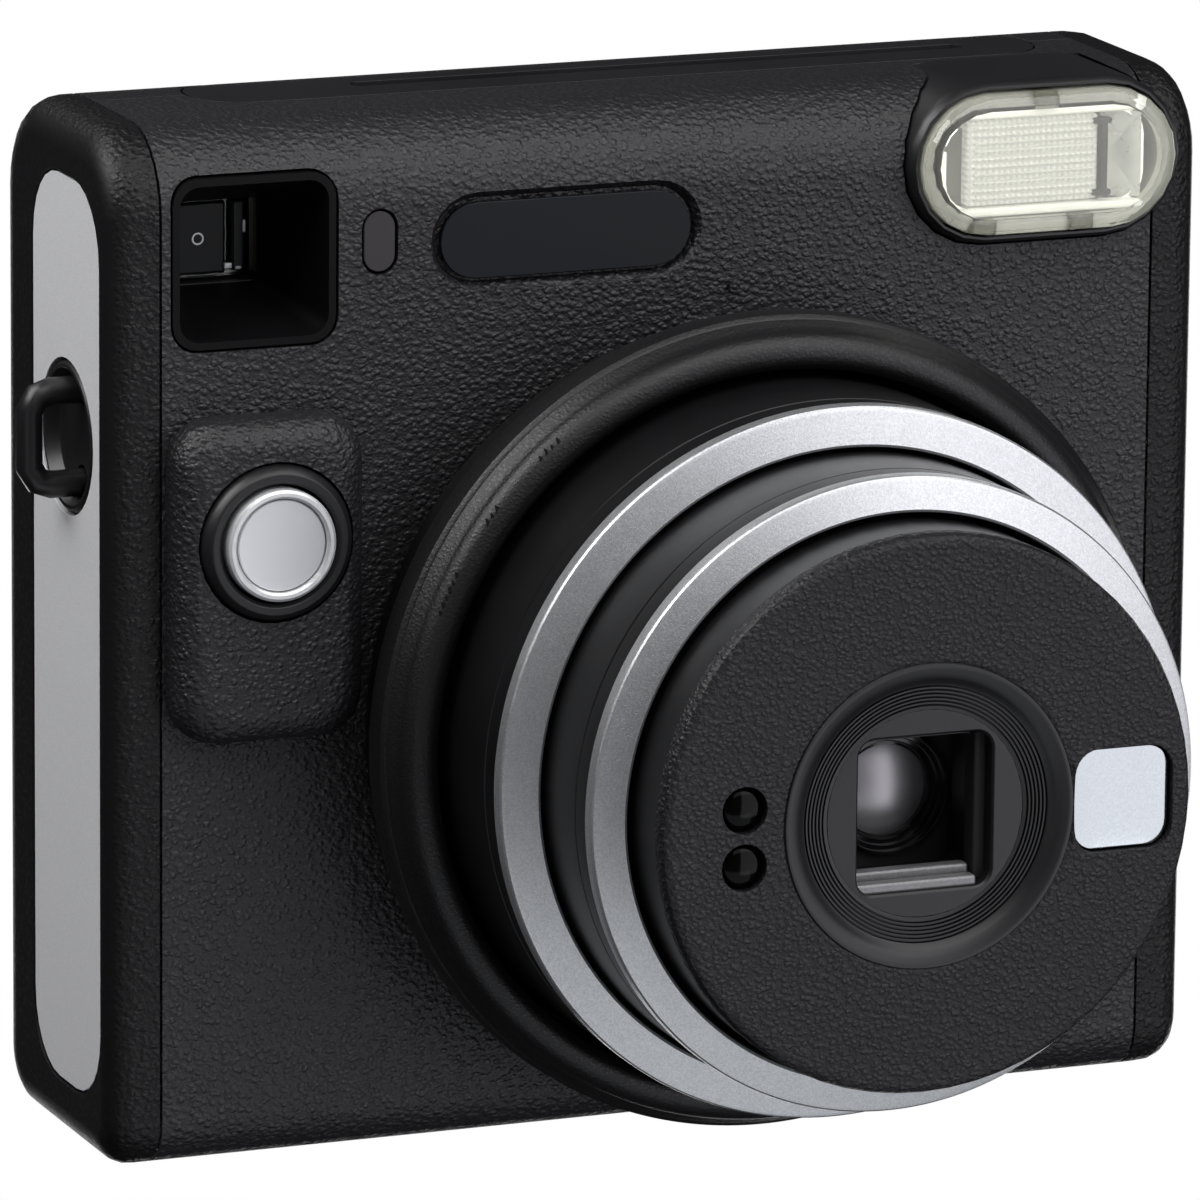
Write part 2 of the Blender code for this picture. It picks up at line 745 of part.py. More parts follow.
def make_flash():
    """Housing, clear window, bowl reflector and tube."""
    housing = front_loft(
        "flash_housing",
        FLASH_X,
        FLASH_Z,
        [
            (34.2 * MM, 19.0 * MM, FAR, -13.7 * MM),
            (34.2 * MM, 19.0 * MM, FAR, 0.3 * MM),
            (33.8 * MM, 18.6 * MM, FAR, 1.1 * MM),
            (33.0 * MM, 17.8 * MM, FAR, 1.6 * MM),
        ],
        "satin_black",
    )
    hollow = [(32.4 * MM, 17.2 * MM, FAR, -15.0 * MM), (32.4 * MM, 17.2 * MM, FAR, 3.0 * MM)]
    subtract(housing, front_loft("flash_hollow", FLASH_X, FLASH_Z, hollow))
    window = front_loft(
        "flash_window",
        FLASH_X,
        FLASH_Z,
        [
            (31.7 * MM, 16.5 * MM, FAR, -5.0 * MM),
            (31.7 * MM, 16.5 * MM, FAR, 2.0 * MM),
            (31.3 * MM, 16.1 * MM, FAR, 3.0 * MM),
            (30.2 * MM, 15.0 * MM, FAR, 3.7 * MM),
            (28.2 * MM, 13.0 * MM, FAR, 3.9 * MM),
        ],
        "clear",
    )
    hollow = [
        (28.9 * MM, 13.7 * MM, FAR, -6.0 * MM),
        (28.9 * MM, 13.7 * MM, FAR, 1.5 * MM),
        (27.8 * MM, 12.6 * MM, FAR, 2.5 * MM),
    ]
    subtract(window, front_loft("flash_window_hollow", FLASH_X, FLASH_Z, hollow))
    reflector = front_loft(
        "flash_reflector",
        FLASH_X - 0.2 * MM,
        FLASH_Z,
        [
            (19.2 * MM, 7.4 * MM, 2.0 * MM, -10.0 * MM),
            (24.4 * MM, 11.0 * MM, 3.2 * MM, -6.0 * MM),
            (25.4 * MM, 11.6 * MM, 3.6 * MM, 0.4 * MM),
        ],
        "reflector",
    )
    bowl = [
        (16.8 * MM, 5.0 * MM, 1.0 * MM, -8.8 * MM),
        (22.6 * MM, 9.2 * MM, 2.6 * MM, -5.2 * MM),
        (24.4 * MM, 10.6 * MM, 3.2 * MM, 0.6 * MM),
    ]
    subtract(reflector, front_loft("flash_bowl", FLASH_X - 0.2 * MM, FLASH_Z, bowl))
    centre = (FLASH_X - 0.2 * MM, ahead(-6.2 * MM), FLASH_Z)
    cylinder("flash_tube", 1.2 * MM, 15.0 * MM, centre, ALONG_X, "clear", 16)


def make_button():
    place = (BUTTON_X, FRONT_Y, BUTTON_Z)
    collar = [
        (-1.0 * MM, 6.9 * MM),
        (-1.0 * MM, 9.0 * MM),
        (5.4 * MM, 9.0 * MM),
        (6.2 * MM, 8.7 * MM),
        (6.7 * MM, 8.1 * MM),
        (6.7 * MM, 7.3 * MM),
        (6.3 * MM, 6.9 * MM),
    ]
    turned("button_collar", collar, place, "satin_black", FACING_FRONT, 40)
    button = [
        (1.2 * MM, 0),
        (1.2 * MM, 6.5 * MM),
        (7.0 * MM, 6.5 * MM),
        (7.5 * MM, 6.1 * MM),
        (7.5 * MM, 5.4 * MM),
        (7.0 * MM, 5.1 * MM),
        (6.8 * MM, 0),
    ]
    turned("shutter_button", button, place, "ring_silver", FACING_FRONT, 40)
    switch = [
        (-4.0 * MM, 0),
        (-4.0 * MM, 3.4 * MM),
        (-1.9 * MM, 3.4 * MM),
        (-1.9 * MM, 1.6 * MM),
        (-0.8 * MM, 1.6 * MM),
        (-0.8 * MM, 0),
    ]
    turned("button_switch", switch, place, "steel", FACING_FRONT, 20)


# Lens stages


def stage_tube(name, bore, radius, flange, front, travel, finish):
    """A barrel: a tube with a guide flange on its rear end, which stows just ahead of the sleeve."""
    rear = STOWED_REAR + travel
    return on_lens(
        name,
        [
            (rear, bore),
            (rear, flange),
            (rear + 2.0 * MM, flange),
            (rear + 2.4 * MM, radius),
            (front, radius),
            (front, bore),
        ],
        finish,
        64,
    )


def trim_ring(name, bore, radius, reach):
    """A silver ring with a flat front between two small chamfers."""
    return on_lens(
        name,
        [
            (reach - RING_DEPTH, bore),
            (reach - RING_DEPTH, radius),
            (reach - 0.4 * MM, radius),
            (reach, radius - 0.4 * MM),
            (reach, bore + 0.3 * MM),
            (reach - 0.3 * MM, bore),
        ],
        "ring_silver",
        64,
    )


def make_dial():
    """The dial ring and the sleeve behind it that guides the outer barrel."""
    on_lens(
        "dial_ring",
        [
            (-1.9 * MM, DIAL_BORE),
            (-1.9 * MM, 42.9 * MM),
            (GAP, 42.9 * MM),
            (GAP, 44.9 * MM),
            (5.4 * MM, 44.9 * MM),
            (6.3 * MM, 45.6 * MM),
            (7.4 * MM, 47.1 * MM),
            (9.0 * MM, 47.7 * MM),
            (12.4 * MM, 47.7 * MM),
            (14.4 * MM, 47.2 * MM),
            (15.8 * MM, 46.0 * MM),
            (DIAL_REACH - 0.3 * MM, 44.4 * MM),
            (DIAL_REACH, 43.2 * MM),
            (DIAL_REACH - 0.5 * MM, DIAL_BORE),
        ],
        "satin_black",
        64,
    )
    on_lens(
        "lens_sleeve",
        [
            (-17.7 * MM, 33.0 * MM),
            (-17.7 * MM, 42.7 * MM),
            (-2.4 * MM, 42.7 * MM),
            (-2.4 * MM, 41.7 * MM),
            (-16.2 * MM, 41.7 * MM),
            (-16.2 * MM, 33.0 * MM),
        ],
        "matte_black",
        64,
    )


def make_barrels():
    outer, middle, inner = STOWED_TRAVEL
    outer_front = OUTER_RING_REACH - RING_DEPTH - GAP
    stage_tube("outer_barrel", 39.2 * MM, 40.9 * MM, 41.3 * MM, outer_front, outer, "satin_black")
    trim_ring("outer_trim_ring", 36.6 * MM, OUTER_RING_RADIUS, OUTER_RING_REACH)
    middle_front = MIDDLE_RING_REACH - RING_DEPTH - GAP
    stage_tube("middle_barrel", 34.3 * MM, 36.1 * MM, 38.8 * MM, middle_front, middle, "satin_black")
    trim_ring("middle_trim_ring", 32.4 * MM, MIDDLE_RING_RADIUS, MIDDLE_RING_REACH)
    inner_front = FACE_REACH - 2.4 * MM - GAP
    stage_tube("inner_barrel", 29.9 * MM, 31.7 * MM, 33.9 * MM, inner_front, inner, "satin_black")


def make_face():
    """The face plate, its mirror and its two round windows."""
    back = FACE_REACH - 2.4 * MM
    face = on_lens(
        "face_plate",
        [
            (back, 17.1 * MM),
            (back, FACE_RADIUS),
            (FACE_REACH - 1.2 * MM, FACE_RADIUS),
            (FACE_REACH - 0.5 * MM, 31.6 * MM),
            (FACE_REACH, 30.7 * MM),
            (FACE_REACH, 18.0 * MM),
            (FACE_REACH - 0.5 * MM, 17.1 * MM),
        ],
        "leather_black",
        64,
    )
    mirror_x = LENS_X + 23.5 * MM
    size, corner = 11.3 * MM, 2.5 * MM
    subtract(
        face,
        front_plate(
            "mirror_hole", size + 0.6 * MM, size + 0.6 * MM, 2.8 * MM, 9 * MM, mirror_x, LENS_Z, 0.06
        ),
    )
    reach = FACE_REACH - 0.5 * MM
    front_plate("selfie_mirror", size, size, corner, 1.4 * MM, mirror_x, LENS_Z, reach, "mirror")
    for word, z in (("upper", 52.5 * MM), ("lower", 46.0 * MM)):
        place = (LENS_X - 22.2 * MM, ahead(FACE_REACH), z)
        hole = cylinder("range_hole_" + word, 2.7 * MM, 9 * MM, place, FACING_FRONT, None, 24)
        subtract(face, hole)
        place = (LENS_X - 22.2 * MM, ahead(FACE_REACH - 1.6 * MM), z)
        cylinder("range_window_" + word, 2.4 * MM, 1.2 * MM, place, FACING_FRONT, "lens_glass", 24)


def make_lens_hood():
    """The stepped cone in the face, with the square opening in front of the lens."""
    steps = 6
    top, low = FACE_REACH - 0.1 * MM, FACE_REACH - 2.2 * MM
    wide, narrow = 16.0 * MM, 12.7 * MM
    profile = [
        (FACE_REACH - 12.0 * MM, 6.9 * MM),
        (FACE_REACH - 12.0 * MM, 15.4 * MM),
        (FACE_REACH - 3.4 * MM, 15.4 * MM),
        (FACE_REACH - 3.2 * MM, 16.8 * MM),
        (top - 0.3 * MM, 16.8 * MM),
        (top, 16.5 * MM),
    ]
    for i in range(steps):
        height = top - (top - low) * i / steps
        radius = wide + (narrow - wide) * i / steps
        profile.append((height, radius))
        profile.append((height - (top - low) / steps, radius - 0.08 * MM))
    profile.append((low, 6.9 * MM))
    hood = on_lens("lens_hood", profile, "satin_black", 48)
    side = 18.0 * MM
    opening = [
        (side, side, 1.6 * MM, low + 9.0 * MM),
        (side, side, 1.6 * MM, low - 3.4 * MM),
        (16.6 * MM, 16.6 * MM, 1.4 * MM, low - 3.8 * MM),
        (15.8 * MM, 15.8 * MM, 1.4 * MM, FACE_REACH - 10.8 * MM),
    ]
    subtract(hood, front_loft("hood_opening", LENS_X, LENS_Z, opening))


def make_optics():
    """Front lens, shutter housing, blades, rear lens and rear cell, from front to back."""
    front = FACE_REACH - 12.4 * MM
    on_lens(
        "shutter_housing",
        [
            (front - 7.0 * MM, 4.2 * MM),
            (front - 7.0 * MM, 15.4 * MM),
            (front, 15.4 * MM),
            (front, 6.6 * MM),
            (front - 5.0 * MM, 6.2 * MM),
            (front - 5.6 * MM, 4.2 * MM),
        ],
        "matte_black",
        40,
    )
    on_lens(
        "front_lens",
        [
            (front - 4.6 * MM, 0),
            (front - 4.2 * MM, 5.8 * MM),
            (front - 1.6 * MM, 5.8 * MM),
            (front - 0.9 * MM, 4.0 * MM),
            (front - 0.6 * MM, 2.0 * MM),
            (front - 0.5 * MM, 0),
        ],
        "lens_glass",
        32,
    )
    back = front - 9.0 * MM
    on_lens(
        "rear_lens_cell",
        [
            (back - 5.0 * MM, 6.6 * MM),
            (back - 5.0 * MM, 15.4 * MM),
            (back, 15.4 * MM),
            (back, 4.2 * MM),
            (back - 1.0 * MM, 4.2 * MM),
            (back - 1.4 * MM, 6.6 * MM),
        ],
        "matte_black",
        40,
    )
    on_lens(
        "rear_lens",
        [
            (back - 4.6 * MM, 0),
            (back - 4.3 * MM, 4.0 * MM),
            (back - 3.8 * MM, 6.2 * MM),
            (back - 1.8 * MM, 6.2 * MM),
            (back - 1.8 * MM, 0),
        ],
        "lens_glass",
        32,
    )
    for side, word in ((1, "upper"), (-1, "lower")):
        make_blade(word, side, front - (7.6 * MM if side > 0 else 8.3 * MM))


def make_blade(word, side, reach):
    """One shutter blade: a disc on an arm, with its origin on its pivot."""
    arm = 9.5 * MM
    outline = []
    for i in range(25):
        angle = math.radians(-240 + 300 * i / 24)
        outline.append((4.9 * MM * math.cos(angle), -arm + 4.9 * MM * math.sin(angle)))
    outline += [(1.5 * MM, -0.5 * MM), (1.1 * MM, 1.1 * MM), (-1.1 * MM, 1.1 * MM)]
    outline += [(-1.5 * MM, -0.5 * MM)]
    outline = [(x, side * z) for x, z in outline]
    centre = (LENS_X, ahead(reach), LENS_Z + side * arm)
    plate(
        "shutter_blade_" + word, [outline], 0.35 * MM, centre, FACING_FRONT, "steel", as_mesh=True
    )


# Doors


def make_door(name, hinge_x, free_x, low, high, finish):
    """A slice of the back wall that carries its own hinge knuckle."""
    near = hinge_x - 1.0 * MM if free_x < hinge_x else hinge_x + 1.0 * MM
    span = (min(near, free_x), max(near, free_x))
    door = slice_of_body(name, (span[0], 10 * MM, low), (span[1], FAR, high), finish)
    unite(door, upright(name + "_knuckle", KNUCKLE_RADIUS, hinge_x, HINGE_Y, (low, high)))
    subtract(door, upright(name + "_bore", PIN_HOLE, hinge_x, HINGE_Y, (low - 0.01, high + 0.01)))
    cylinder(
        name.replace("door", "hinge_pin"),
        PIN_RADIUS,
        high - low + 4.4 * MM,
        (hinge_x, HINGE_Y, (low + high) / 2),
        FACING_UP,
        "steel",
        12,
    )
    return door


def hang(name, x, low, high, pieces):
    """Parents the pieces of a door to an empty on the hinge axis, and leaves them in place."""
    place = Vector((x, HINGE_Y, (low + high) / 2))
    axis = bpy.data.objects.new(name, None)
    axis.location = place
    PARTS.objects.link(axis)
    for piece in pieces:
        piece.parent = axis
        piece.matrix_parent_inverse = Matrix.Translation(-place)


def make_doors():
    door = make_door(
        "film_door", FILM_HINGE_X, DOOR_LEFT, DOOR_LOW, DOOR_HIGH, "leather_black"
    )
    for x in (-14.0 * MM, 31.0 * MM):
        span = (x - 5 * MM, x + 5 * MM)
        unite(door, block("door_pad", span, (14.6 * MM, 18.0 * MM), (30 * MM, 75 * MM)))
    counter = (-22.0 * MM, 26.0 * MM)
    subtract(
        door,
        front_plate("counter_hole", 7.2 * MM, 15.2 * MM, 2 * MM, 9 * MM, *counter, -34 * MM),
        block(
            "latch_hole",
            (-31.0 * MM, -22.0 * MM),
            (16 * MM, 22 * MM),
            (51.0 * MM, 66.0 * MM),
        ),
    )
    window = front_plate(
        "door_window", 6.6 * MM, 14.6 * MM, 1.7 * MM, 1.6 * MM, *counter, -37.2 * MM, "clear"
    )
    latch = block(
        "film_door_latch",
        (-30.6 * MM, -24.6 * MM),
        (17.2 * MM, 19.3 * MM),
        (51.4 * MM, 65.6 * MM),
        "satin_black",
    )
    tongue = ((-35.6 * MM, -26.0 * MM), (15.4 * MM, 17.3 * MM), (55 * MM, 62 * MM))
    unite(latch, block("latch_tongue", *tongue))
    for x in (-29.4 * MM, -27.9 * MM, -26.4 * MM):
        unite(
            latch,
            block("latch_rib", (x, x + 0.7 * MM), (18 * MM, 19.8 * MM), (53 * MM, 64 * MM)),
        )
    hang("film_door_axis", FILM_HINGE_X, DOOR_LOW, DOOR_HIGH, (door, window, latch))
    cover = make_door(
        "battery_door",
        BATTERY_HINGE_X,
        BATTERY_DOOR_RIGHT,
        BATTERY_DOOR_LOW,
        BATTERY_DOOR_HIGH,
        "leather_black",
    )
    hang("battery_door_axis", BATTERY_HINGE_X, BATTERY_DOOR_LOW, BATTERY_DOOR_HIGH, (cover,))


# Film path and electrics


def make_film_chamber():
    """The box behind the lens that holds the film pack, with the image gate in its floor."""
    chamber = box("film_chamber", CHAMBER_LOW, CHAMBER_HIGH, "matte_black")
    wall = 1.8 * MM
    half = IMAGE_SIZE / 2
    subtract(
        chamber,
        block(
            "pack_space",
            (CHAMBER_LOW[0] + wall, CHAMBER_HIGH[0] - wall),
            (FILM_PLANE_Y, 40 * MM),
            (CHAMBER_LOW[2] + wall, CHAMBER_HIGH[2] - wall),
        ),
        block(
            "gate",
            (LENS_X - half, LENS_X + half),
            (-10 * MM, 10 * MM),
            (LENS_Z - half, LENS_Z + half),
        ),
        block(
            "film_exit",
            (SLOT_X - 37.5 * MM, SLOT_X + 37.5 * MM),
            (FILM_PLANE_Y, FILM_PLANE_Y + 2.4 * MM),
            (95 * MM, 110 * MM),
        ),
        block(
            "claw_slot",
            (CHAMBER_LOW[0] - 5 * MM, CHAMBER_LOW[0] + 5 * MM),
            (4.0 * MM, 7.0 * MM),
            (12.0 * MM, 24.0 * MM),
        ),
    )


def make_film_claw():
    """A slide with a tooth that pushes a sheet up by its lower edge."""
    left = CHAMBER_LOW[0] - 1.6 * MM
    claw = block(
        "film_claw", (left, left + 1.2 * MM), (3.4 * MM, 9.0 * MM), (12.6 * MM, 52 * MM), "steel"
    )
    tooth = block(
        "claw_tooth", (left + 0.4 * MM, left + 4.6 * MM), (4.6 * MM, 6.2 * MM), (13 * MM, 15.5 * MM)
    )
    unite(claw, tooth)


def make_roller(name, y, phase):
    """A film roller along X with stepped journals and a gear on its right end."""
    left, right = -30.4 * MM, 47.4 * MM
    shaft = 1.4 * MM
    profile = [
        (left - 3.6 * MM, 0),
        (left - 3.6 * MM, shaft),
        (left, shaft),
        (left, ROLLER_RADIUS),
        (right, ROLLER_RADIUS),
        (right, shaft),
        (GEAR_X + GEAR_WIDTH / 2 + 0.8 * MM, shaft),
        (GEAR_X + GEAR_WIDTH / 2 + 0.8 * MM, 0),
    ]
    roller = turned(name, profile, (0, y, ROLLER_Z), "steel", ALONG_X, 24)
    unite(roller, gear_disc(name + "_gear", ROLLER_TEETH, phase, y, ROLLER_Z))


def gear_disc(name, teeth, phase, y, z, finish=None, bore=0.0):
    """A gear that turns about X. A phase of 0 points a tooth down."""
    outlines = [gear_outline(teeth, phase)]
    if bore:
        outlines.append(circle_outline(bore, 16))
    return plate(name, outlines, GEAR_WIDTH, (GEAR_X, y, z), ALONG_X, finish, as_mesh=True)


def make_drive():
    """Two rollers geared to each other, and the train from the motor to the rear one."""
    apart = GEAR_MODULE * ROLLER_TEETH
    front_y, rear_y = SLOT_Y - apart / 2, SLOT_Y + apart / 2
    quarter = math.pi / 2
    make_roller("front_roller", front_y, quarter)
    make_roller("rear_roller", rear_y, quarter + math.pi / ROLLER_TEETH)
    drive_z = ROLLER_Z - GEAR_MODULE * (ROLLER_TEETH + DRIVE_TEETH) / 2
    pinion_z = drive_z - GEAR_MODULE * (DRIVE_TEETH + PINION_TEETH) / 2
    gear_disc("drive_gear", DRIVE_TEETH, 0.0, rear_y, drive_z, "gear_white", 1.4 * MM)
    half_tooth = math.pi / PINION_TEETH
    gear_disc("motor_pinion", PINION_TEETH, half_tooth, rear_y, pinion_z, "gear_white", 1.2 * MM)
    motor = cylinder(
        "eject_motor", 6.8 * MM, 6.2 * MM, (59.5 * MM, rear_y, pinion_z), ALONG_X, "steel", 28
    )
    shaft_centre = (55.0 * MM, rear_y, pinion_z)
    unite(motor, cylinder("motor_shaft", 0.85 * MM, 6.0 * MM, shaft_centre, ALONG_X, None, 12))
    make_roller_bracket(front_y, rear_y)


def make_roller_bracket(front_y, rear_y):
    """End plates for the journals, joined by a front bar."""
    plates = [(-33.4 * MM, -31.8 * MM), (48.4 * MM, 50.0 * MM)]
    bracket = block(
        "roller_bracket",
        (plates[0][0], plates[1][1]),
        (front_y - 5.2 * MM, front_y - 4.2 * MM),
        (103.0 * MM, 112.0 * MM),
        "steel",
    )
    for i, span in enumerate(plates):
        low = 103.0 * MM
        rise = ((span[0], span[1]), (front_y - 5.0 * MM, rear_y + 3.6 * MM), (low, 112.0 * MM))
        unite(bracket, block("bracket_end_%d" % i, *rise))
    for i, y in enumerate((front_y, rear_y)):
        centre = (8 * MM, y, ROLLER_Z)
        subtract(bracket, cylinder("journals_%d" % i, 1.75 * MM, 0.12, centre, ALONG_X, None, 20))


def make_electrics():
    holder = block(
        "battery_holder", (-57.2 * MM, -37.9 * MM), (-0.6 * MM, 14.4 * MM), (15.9 * MM, 76 * MM),
        "satin_black",
    )
    radius = BATTERY_RADIUS + GAP
    bay = (17.7 * MM, 74.2 * MM)
    subtract(
        holder,
        upright("battery_bay", radius, BATTERY_X, BATTERY_Y, bay, 32),
        block("battery_way", (BATTERY_X - radius, BATTERY_X + radius), (BATTERY_Y, 30 * MM), bay),
    )
    for word, low in (("lower", 18.2 * MM), ("upper", 18.2 * MM + BATTERY_LENGTH + 0.9 * MM)):
        profile = [
            (0, 0),
            (0, 7.0 * MM),
            (0.4 * MM, BATTERY_RADIUS),
            (BATTERY_LENGTH - 1.4 * MM, BATTERY_RADIUS),
            (BATTERY_LENGTH - 0.9 * MM, 7.0 * MM),
            (BATTERY_LENGTH - 0.9 * MM, 3.0 * MM),
            (BATTERY_LENGTH, 3.0 * MM),
            (BATTERY_LENGTH, 0),
        ]
        place = (BATTERY_X, BATTERY_Y, low)
        turned("battery_" + word, profile, place, "battery_grey", FACING_UP, 28)
    block(
        "main_board", (-58.5 * MM, -36.8 * MM), (-9.4 * MM, -8.2 * MM), (6 * MM, 48 * MM), "board_green"
    )
    profile = [(0, 0), (0, 5.5 * MM), (37 * MM, 5.5 * MM), (37 * MM, 0)]
    place = (58.2 * MM, -8.5 * MM, 18 * MM)
    turned("flash_capacitor", profile, place, "satin_black", FACING_UP, 24)


clear_scene()
PARTS = make_collection("instant_camera")
CUTTERS = make_collection("cutters")
MATERIALS = make_materials()
BODY_OUTER = body_form("body_outer", 0.0, 0.0)
BODY_INNER = body_form("body_inner", WALL, END_WALL)

make_front_cover()
make_rear_cover()
make_side(-1)
make_side(1)
make_slot_panel()
make_strap_lug()
make_viewfinder()
make_front_trim()
make_flash()
make_button()
make_dial()
make_barrels()
make_face()
make_lens_hood()
make_optics()
make_doors()
make_film_chamber()
make_film_claw()
make_drive()
make_electrics()
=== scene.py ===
"""Looks for the square-format instant camera: camera, light, floor, materials and fine pieces."""

import json
import math

import bmesh
import bpy
from mathutils import Matrix, Vector


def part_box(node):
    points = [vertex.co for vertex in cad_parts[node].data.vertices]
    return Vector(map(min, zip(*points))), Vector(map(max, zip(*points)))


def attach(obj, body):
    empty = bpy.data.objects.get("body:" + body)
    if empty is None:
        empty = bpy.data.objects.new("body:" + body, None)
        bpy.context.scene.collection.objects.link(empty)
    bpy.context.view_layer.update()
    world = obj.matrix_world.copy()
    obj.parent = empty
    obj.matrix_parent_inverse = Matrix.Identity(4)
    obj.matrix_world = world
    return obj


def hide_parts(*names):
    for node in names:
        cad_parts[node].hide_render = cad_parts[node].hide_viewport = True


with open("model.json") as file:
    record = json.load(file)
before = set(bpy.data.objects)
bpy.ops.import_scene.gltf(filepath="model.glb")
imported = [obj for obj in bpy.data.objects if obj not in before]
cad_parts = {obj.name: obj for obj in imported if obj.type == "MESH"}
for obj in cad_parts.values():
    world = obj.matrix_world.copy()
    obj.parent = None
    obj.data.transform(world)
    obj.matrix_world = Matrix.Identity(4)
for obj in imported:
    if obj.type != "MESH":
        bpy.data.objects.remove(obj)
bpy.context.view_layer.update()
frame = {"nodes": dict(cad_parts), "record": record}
NODES = frame["nodes"]
SCENE = bpy.context.scene
MM = 0.001

BODY_OF = {
    node: body
    for body, names in frame["record"]["behaviour"]["bodies"].items()
    for node in names
}
SLOT_OF = {entry["node"]: entry["material_slot"] for entry in frame["record"]["subparts"]}


def middle_of(node):
    """The x and z of a CAD node's middle."""
    low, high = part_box(node)
    return (low.x + high.x) / 2, (low.z + high.z) / 2


LENS_X, LENS_Z = middle_of("face_plate")
FLASH_X, FLASH_Z = middle_of("flash_window")
FINDER_X, FINDER_Z = middle_of("viewfinder_window")
FACE_REACH = 58.2 * MM
FRONT_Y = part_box("face_plate")[0].y + FACE_REACH

# How many sides a turned piece has
FINE, ROUND, SMALL = 256, 128, 48


def ahead(reach):
    """The y of a point this far in front of the front wall."""
    return FRONT_Y - reach


# Camera and light


def make_camera():
    """A long lens from the front left, a little above."""
    azimuth, elevation, roll = math.radians(21.98), math.radians(13.2), 0.009
    target = Vector((-7.6 * MM, FRONT_Y, 62.9 * MM))
    distance, focal_length = 1.229, 322.0
    forward = Vector(
        (
            math.sin(azimuth) * math.cos(elevation),
            math.cos(azimuth) * math.cos(elevation),
            -math.sin(elevation),
        )
    )
    right = forward.cross(Vector((0, 0, 1))).normalized()
    up = right.cross(forward)
    right, up = (
        right * math.cos(roll) + up * math.sin(roll),
        up * math.cos(roll) - right * math.sin(roll),
    )
    data = bpy.data.cameras.new("camera")
    data.sensor_width = 36
    data.lens = focal_length
    data.clip_end = 20
    camera = bpy.data.objects.new("camera", data)
    place = Matrix((right, up, -forward)).transposed().to_4x4()
    place.translation = target - forward * distance
    camera.matrix_world = place
    SCENE.collection.objects.link(camera)
    SCENE.camera = camera


def area_light(name, place, target, size, radiance, colour=(1, 1, 1)):
    """A softbox of a given brightness as seen in a mirror."""
    data = bpy.data.lights.new(name, "AREA")
    data.shape = "RECTANGLE"
    data.size, data.size_y = size
    data.energy = radiance * math.pi * size[0] * size[1]
    data.color = colour
    light = bpy.data.objects.new(name, data)
    light.location = place
    light.rotation_euler = (Vector(target) - Vector(place)).to_track_quat("-Z", "Y").to_euler()
    SCENE.collection.objects.link(light)


def make_world():
    """White behind the object; as light on it, a dim studio that is paler in front and below."""
    world = bpy.data.worlds.new("studio")
    world.use_nodes = True
    SCENE.world = world
    tree = world.node_tree
    tree.nodes.clear()
    out = tree.nodes.new("ShaderNodeOutputWorld")
    mix = tree.nodes.new("ShaderNodeMixShader")
    path = tree.nodes.new("ShaderNodeLightPath")
    seen = tree.nodes.new("ShaderNodeBackground")
    fill = tree.nodes.new("ShaderNodeBackground")
    place = tree.nodes.new("ShaderNodeTexCoord")
    slope = tree.nodes.new("ShaderNodeVectorMath")
    slope.operation = "DOT_PRODUCT"
    slope.inputs[1].default_value = Vector((0.45, -0.78, -0.42)).normalized()
    ramp = tree.nodes.new("ShaderNodeValToRGB")
    stops = ramp.color_ramp.elements
    stops[0].position, stops[0].color = 0.3, (0.030, 0.030, 0.032, 1)
    stops[1].position, stops[1].color = 1.0, (0.10, 0.10, 0.108, 1)
    seen.inputs["Color"].default_value = (1, 1, 1, 1)
    seen.inputs["Strength"].default_value = 1.0
    tree.links.new(place.outputs["Generated"], slope.inputs[0])
    tree.links.new(slope.outputs["Value"], ramp.inputs[0])
    tree.links.new(ramp.outputs["Color"], fill.inputs["Color"])
    fill.inputs["Strength"].default_value = 1.0
    tree.links.new(path.outputs["Is Camera Ray"], mix.inputs[0])
    tree.links.new(fill.outputs[0], mix.inputs[1])
    tree.links.new(seen.outputs[0], mix.inputs[2])
    tree.links.new(mix.outputs[0], out.inputs[0])


def make_lights():
    """Cards to the front right, softboxes above and to the left, a table's glow, and two behind."""
    cool, warm = (0.985, 0.975, 1.02), (1.0, 0.985, 1.02)
    centre = (0.0, -0.02, 0.06)
    area_light("right_card", (0.75, -1.0, 0.20), (0.10, -0.02, 0.18), (0.94, 1.56), 1.40, cool)
    area_light("high_card", (0.32, -0.74, 0.52), (0.02, -0.05, 0.07), (0.92, 0.40), 1.05, warm)
    area_light("top_softbox", (0.12, -0.30, 0.60), (0.02, -0.02, 0.08), (0.80, 0.42), 2.5)
    area_light("left_softbox", (-0.36, 0.0, 0.44), (-0.07, 0.0, 0.12), (0.42, 0.30), 6.4)
    area_light("left_strip", (-0.72, -0.82, -0.02), (-0.05, -0.03, 0.05), (0.14, 0.5), 1.0)
    area_light("table_glow", (-0.02, -0.58, -0.40), centre, (1.0, 0.45), 0.66, (0.93, 0.96, 1.0))
    area_light("back_softbox", (-0.45, 1.0, 1.0), centre, (0.6, 0.5), 1.5)
    area_light("back_card", (0.52, 1.0, -0.36), centre, (1.4, 0.8), 2.3)


def mesh_of(name, bm):
    """Turns a bmesh into a mesh and frees it."""
    mesh = bpy.data.meshes.new(name)
    bm.to_mesh(mesh)
    bm.free()
    return mesh


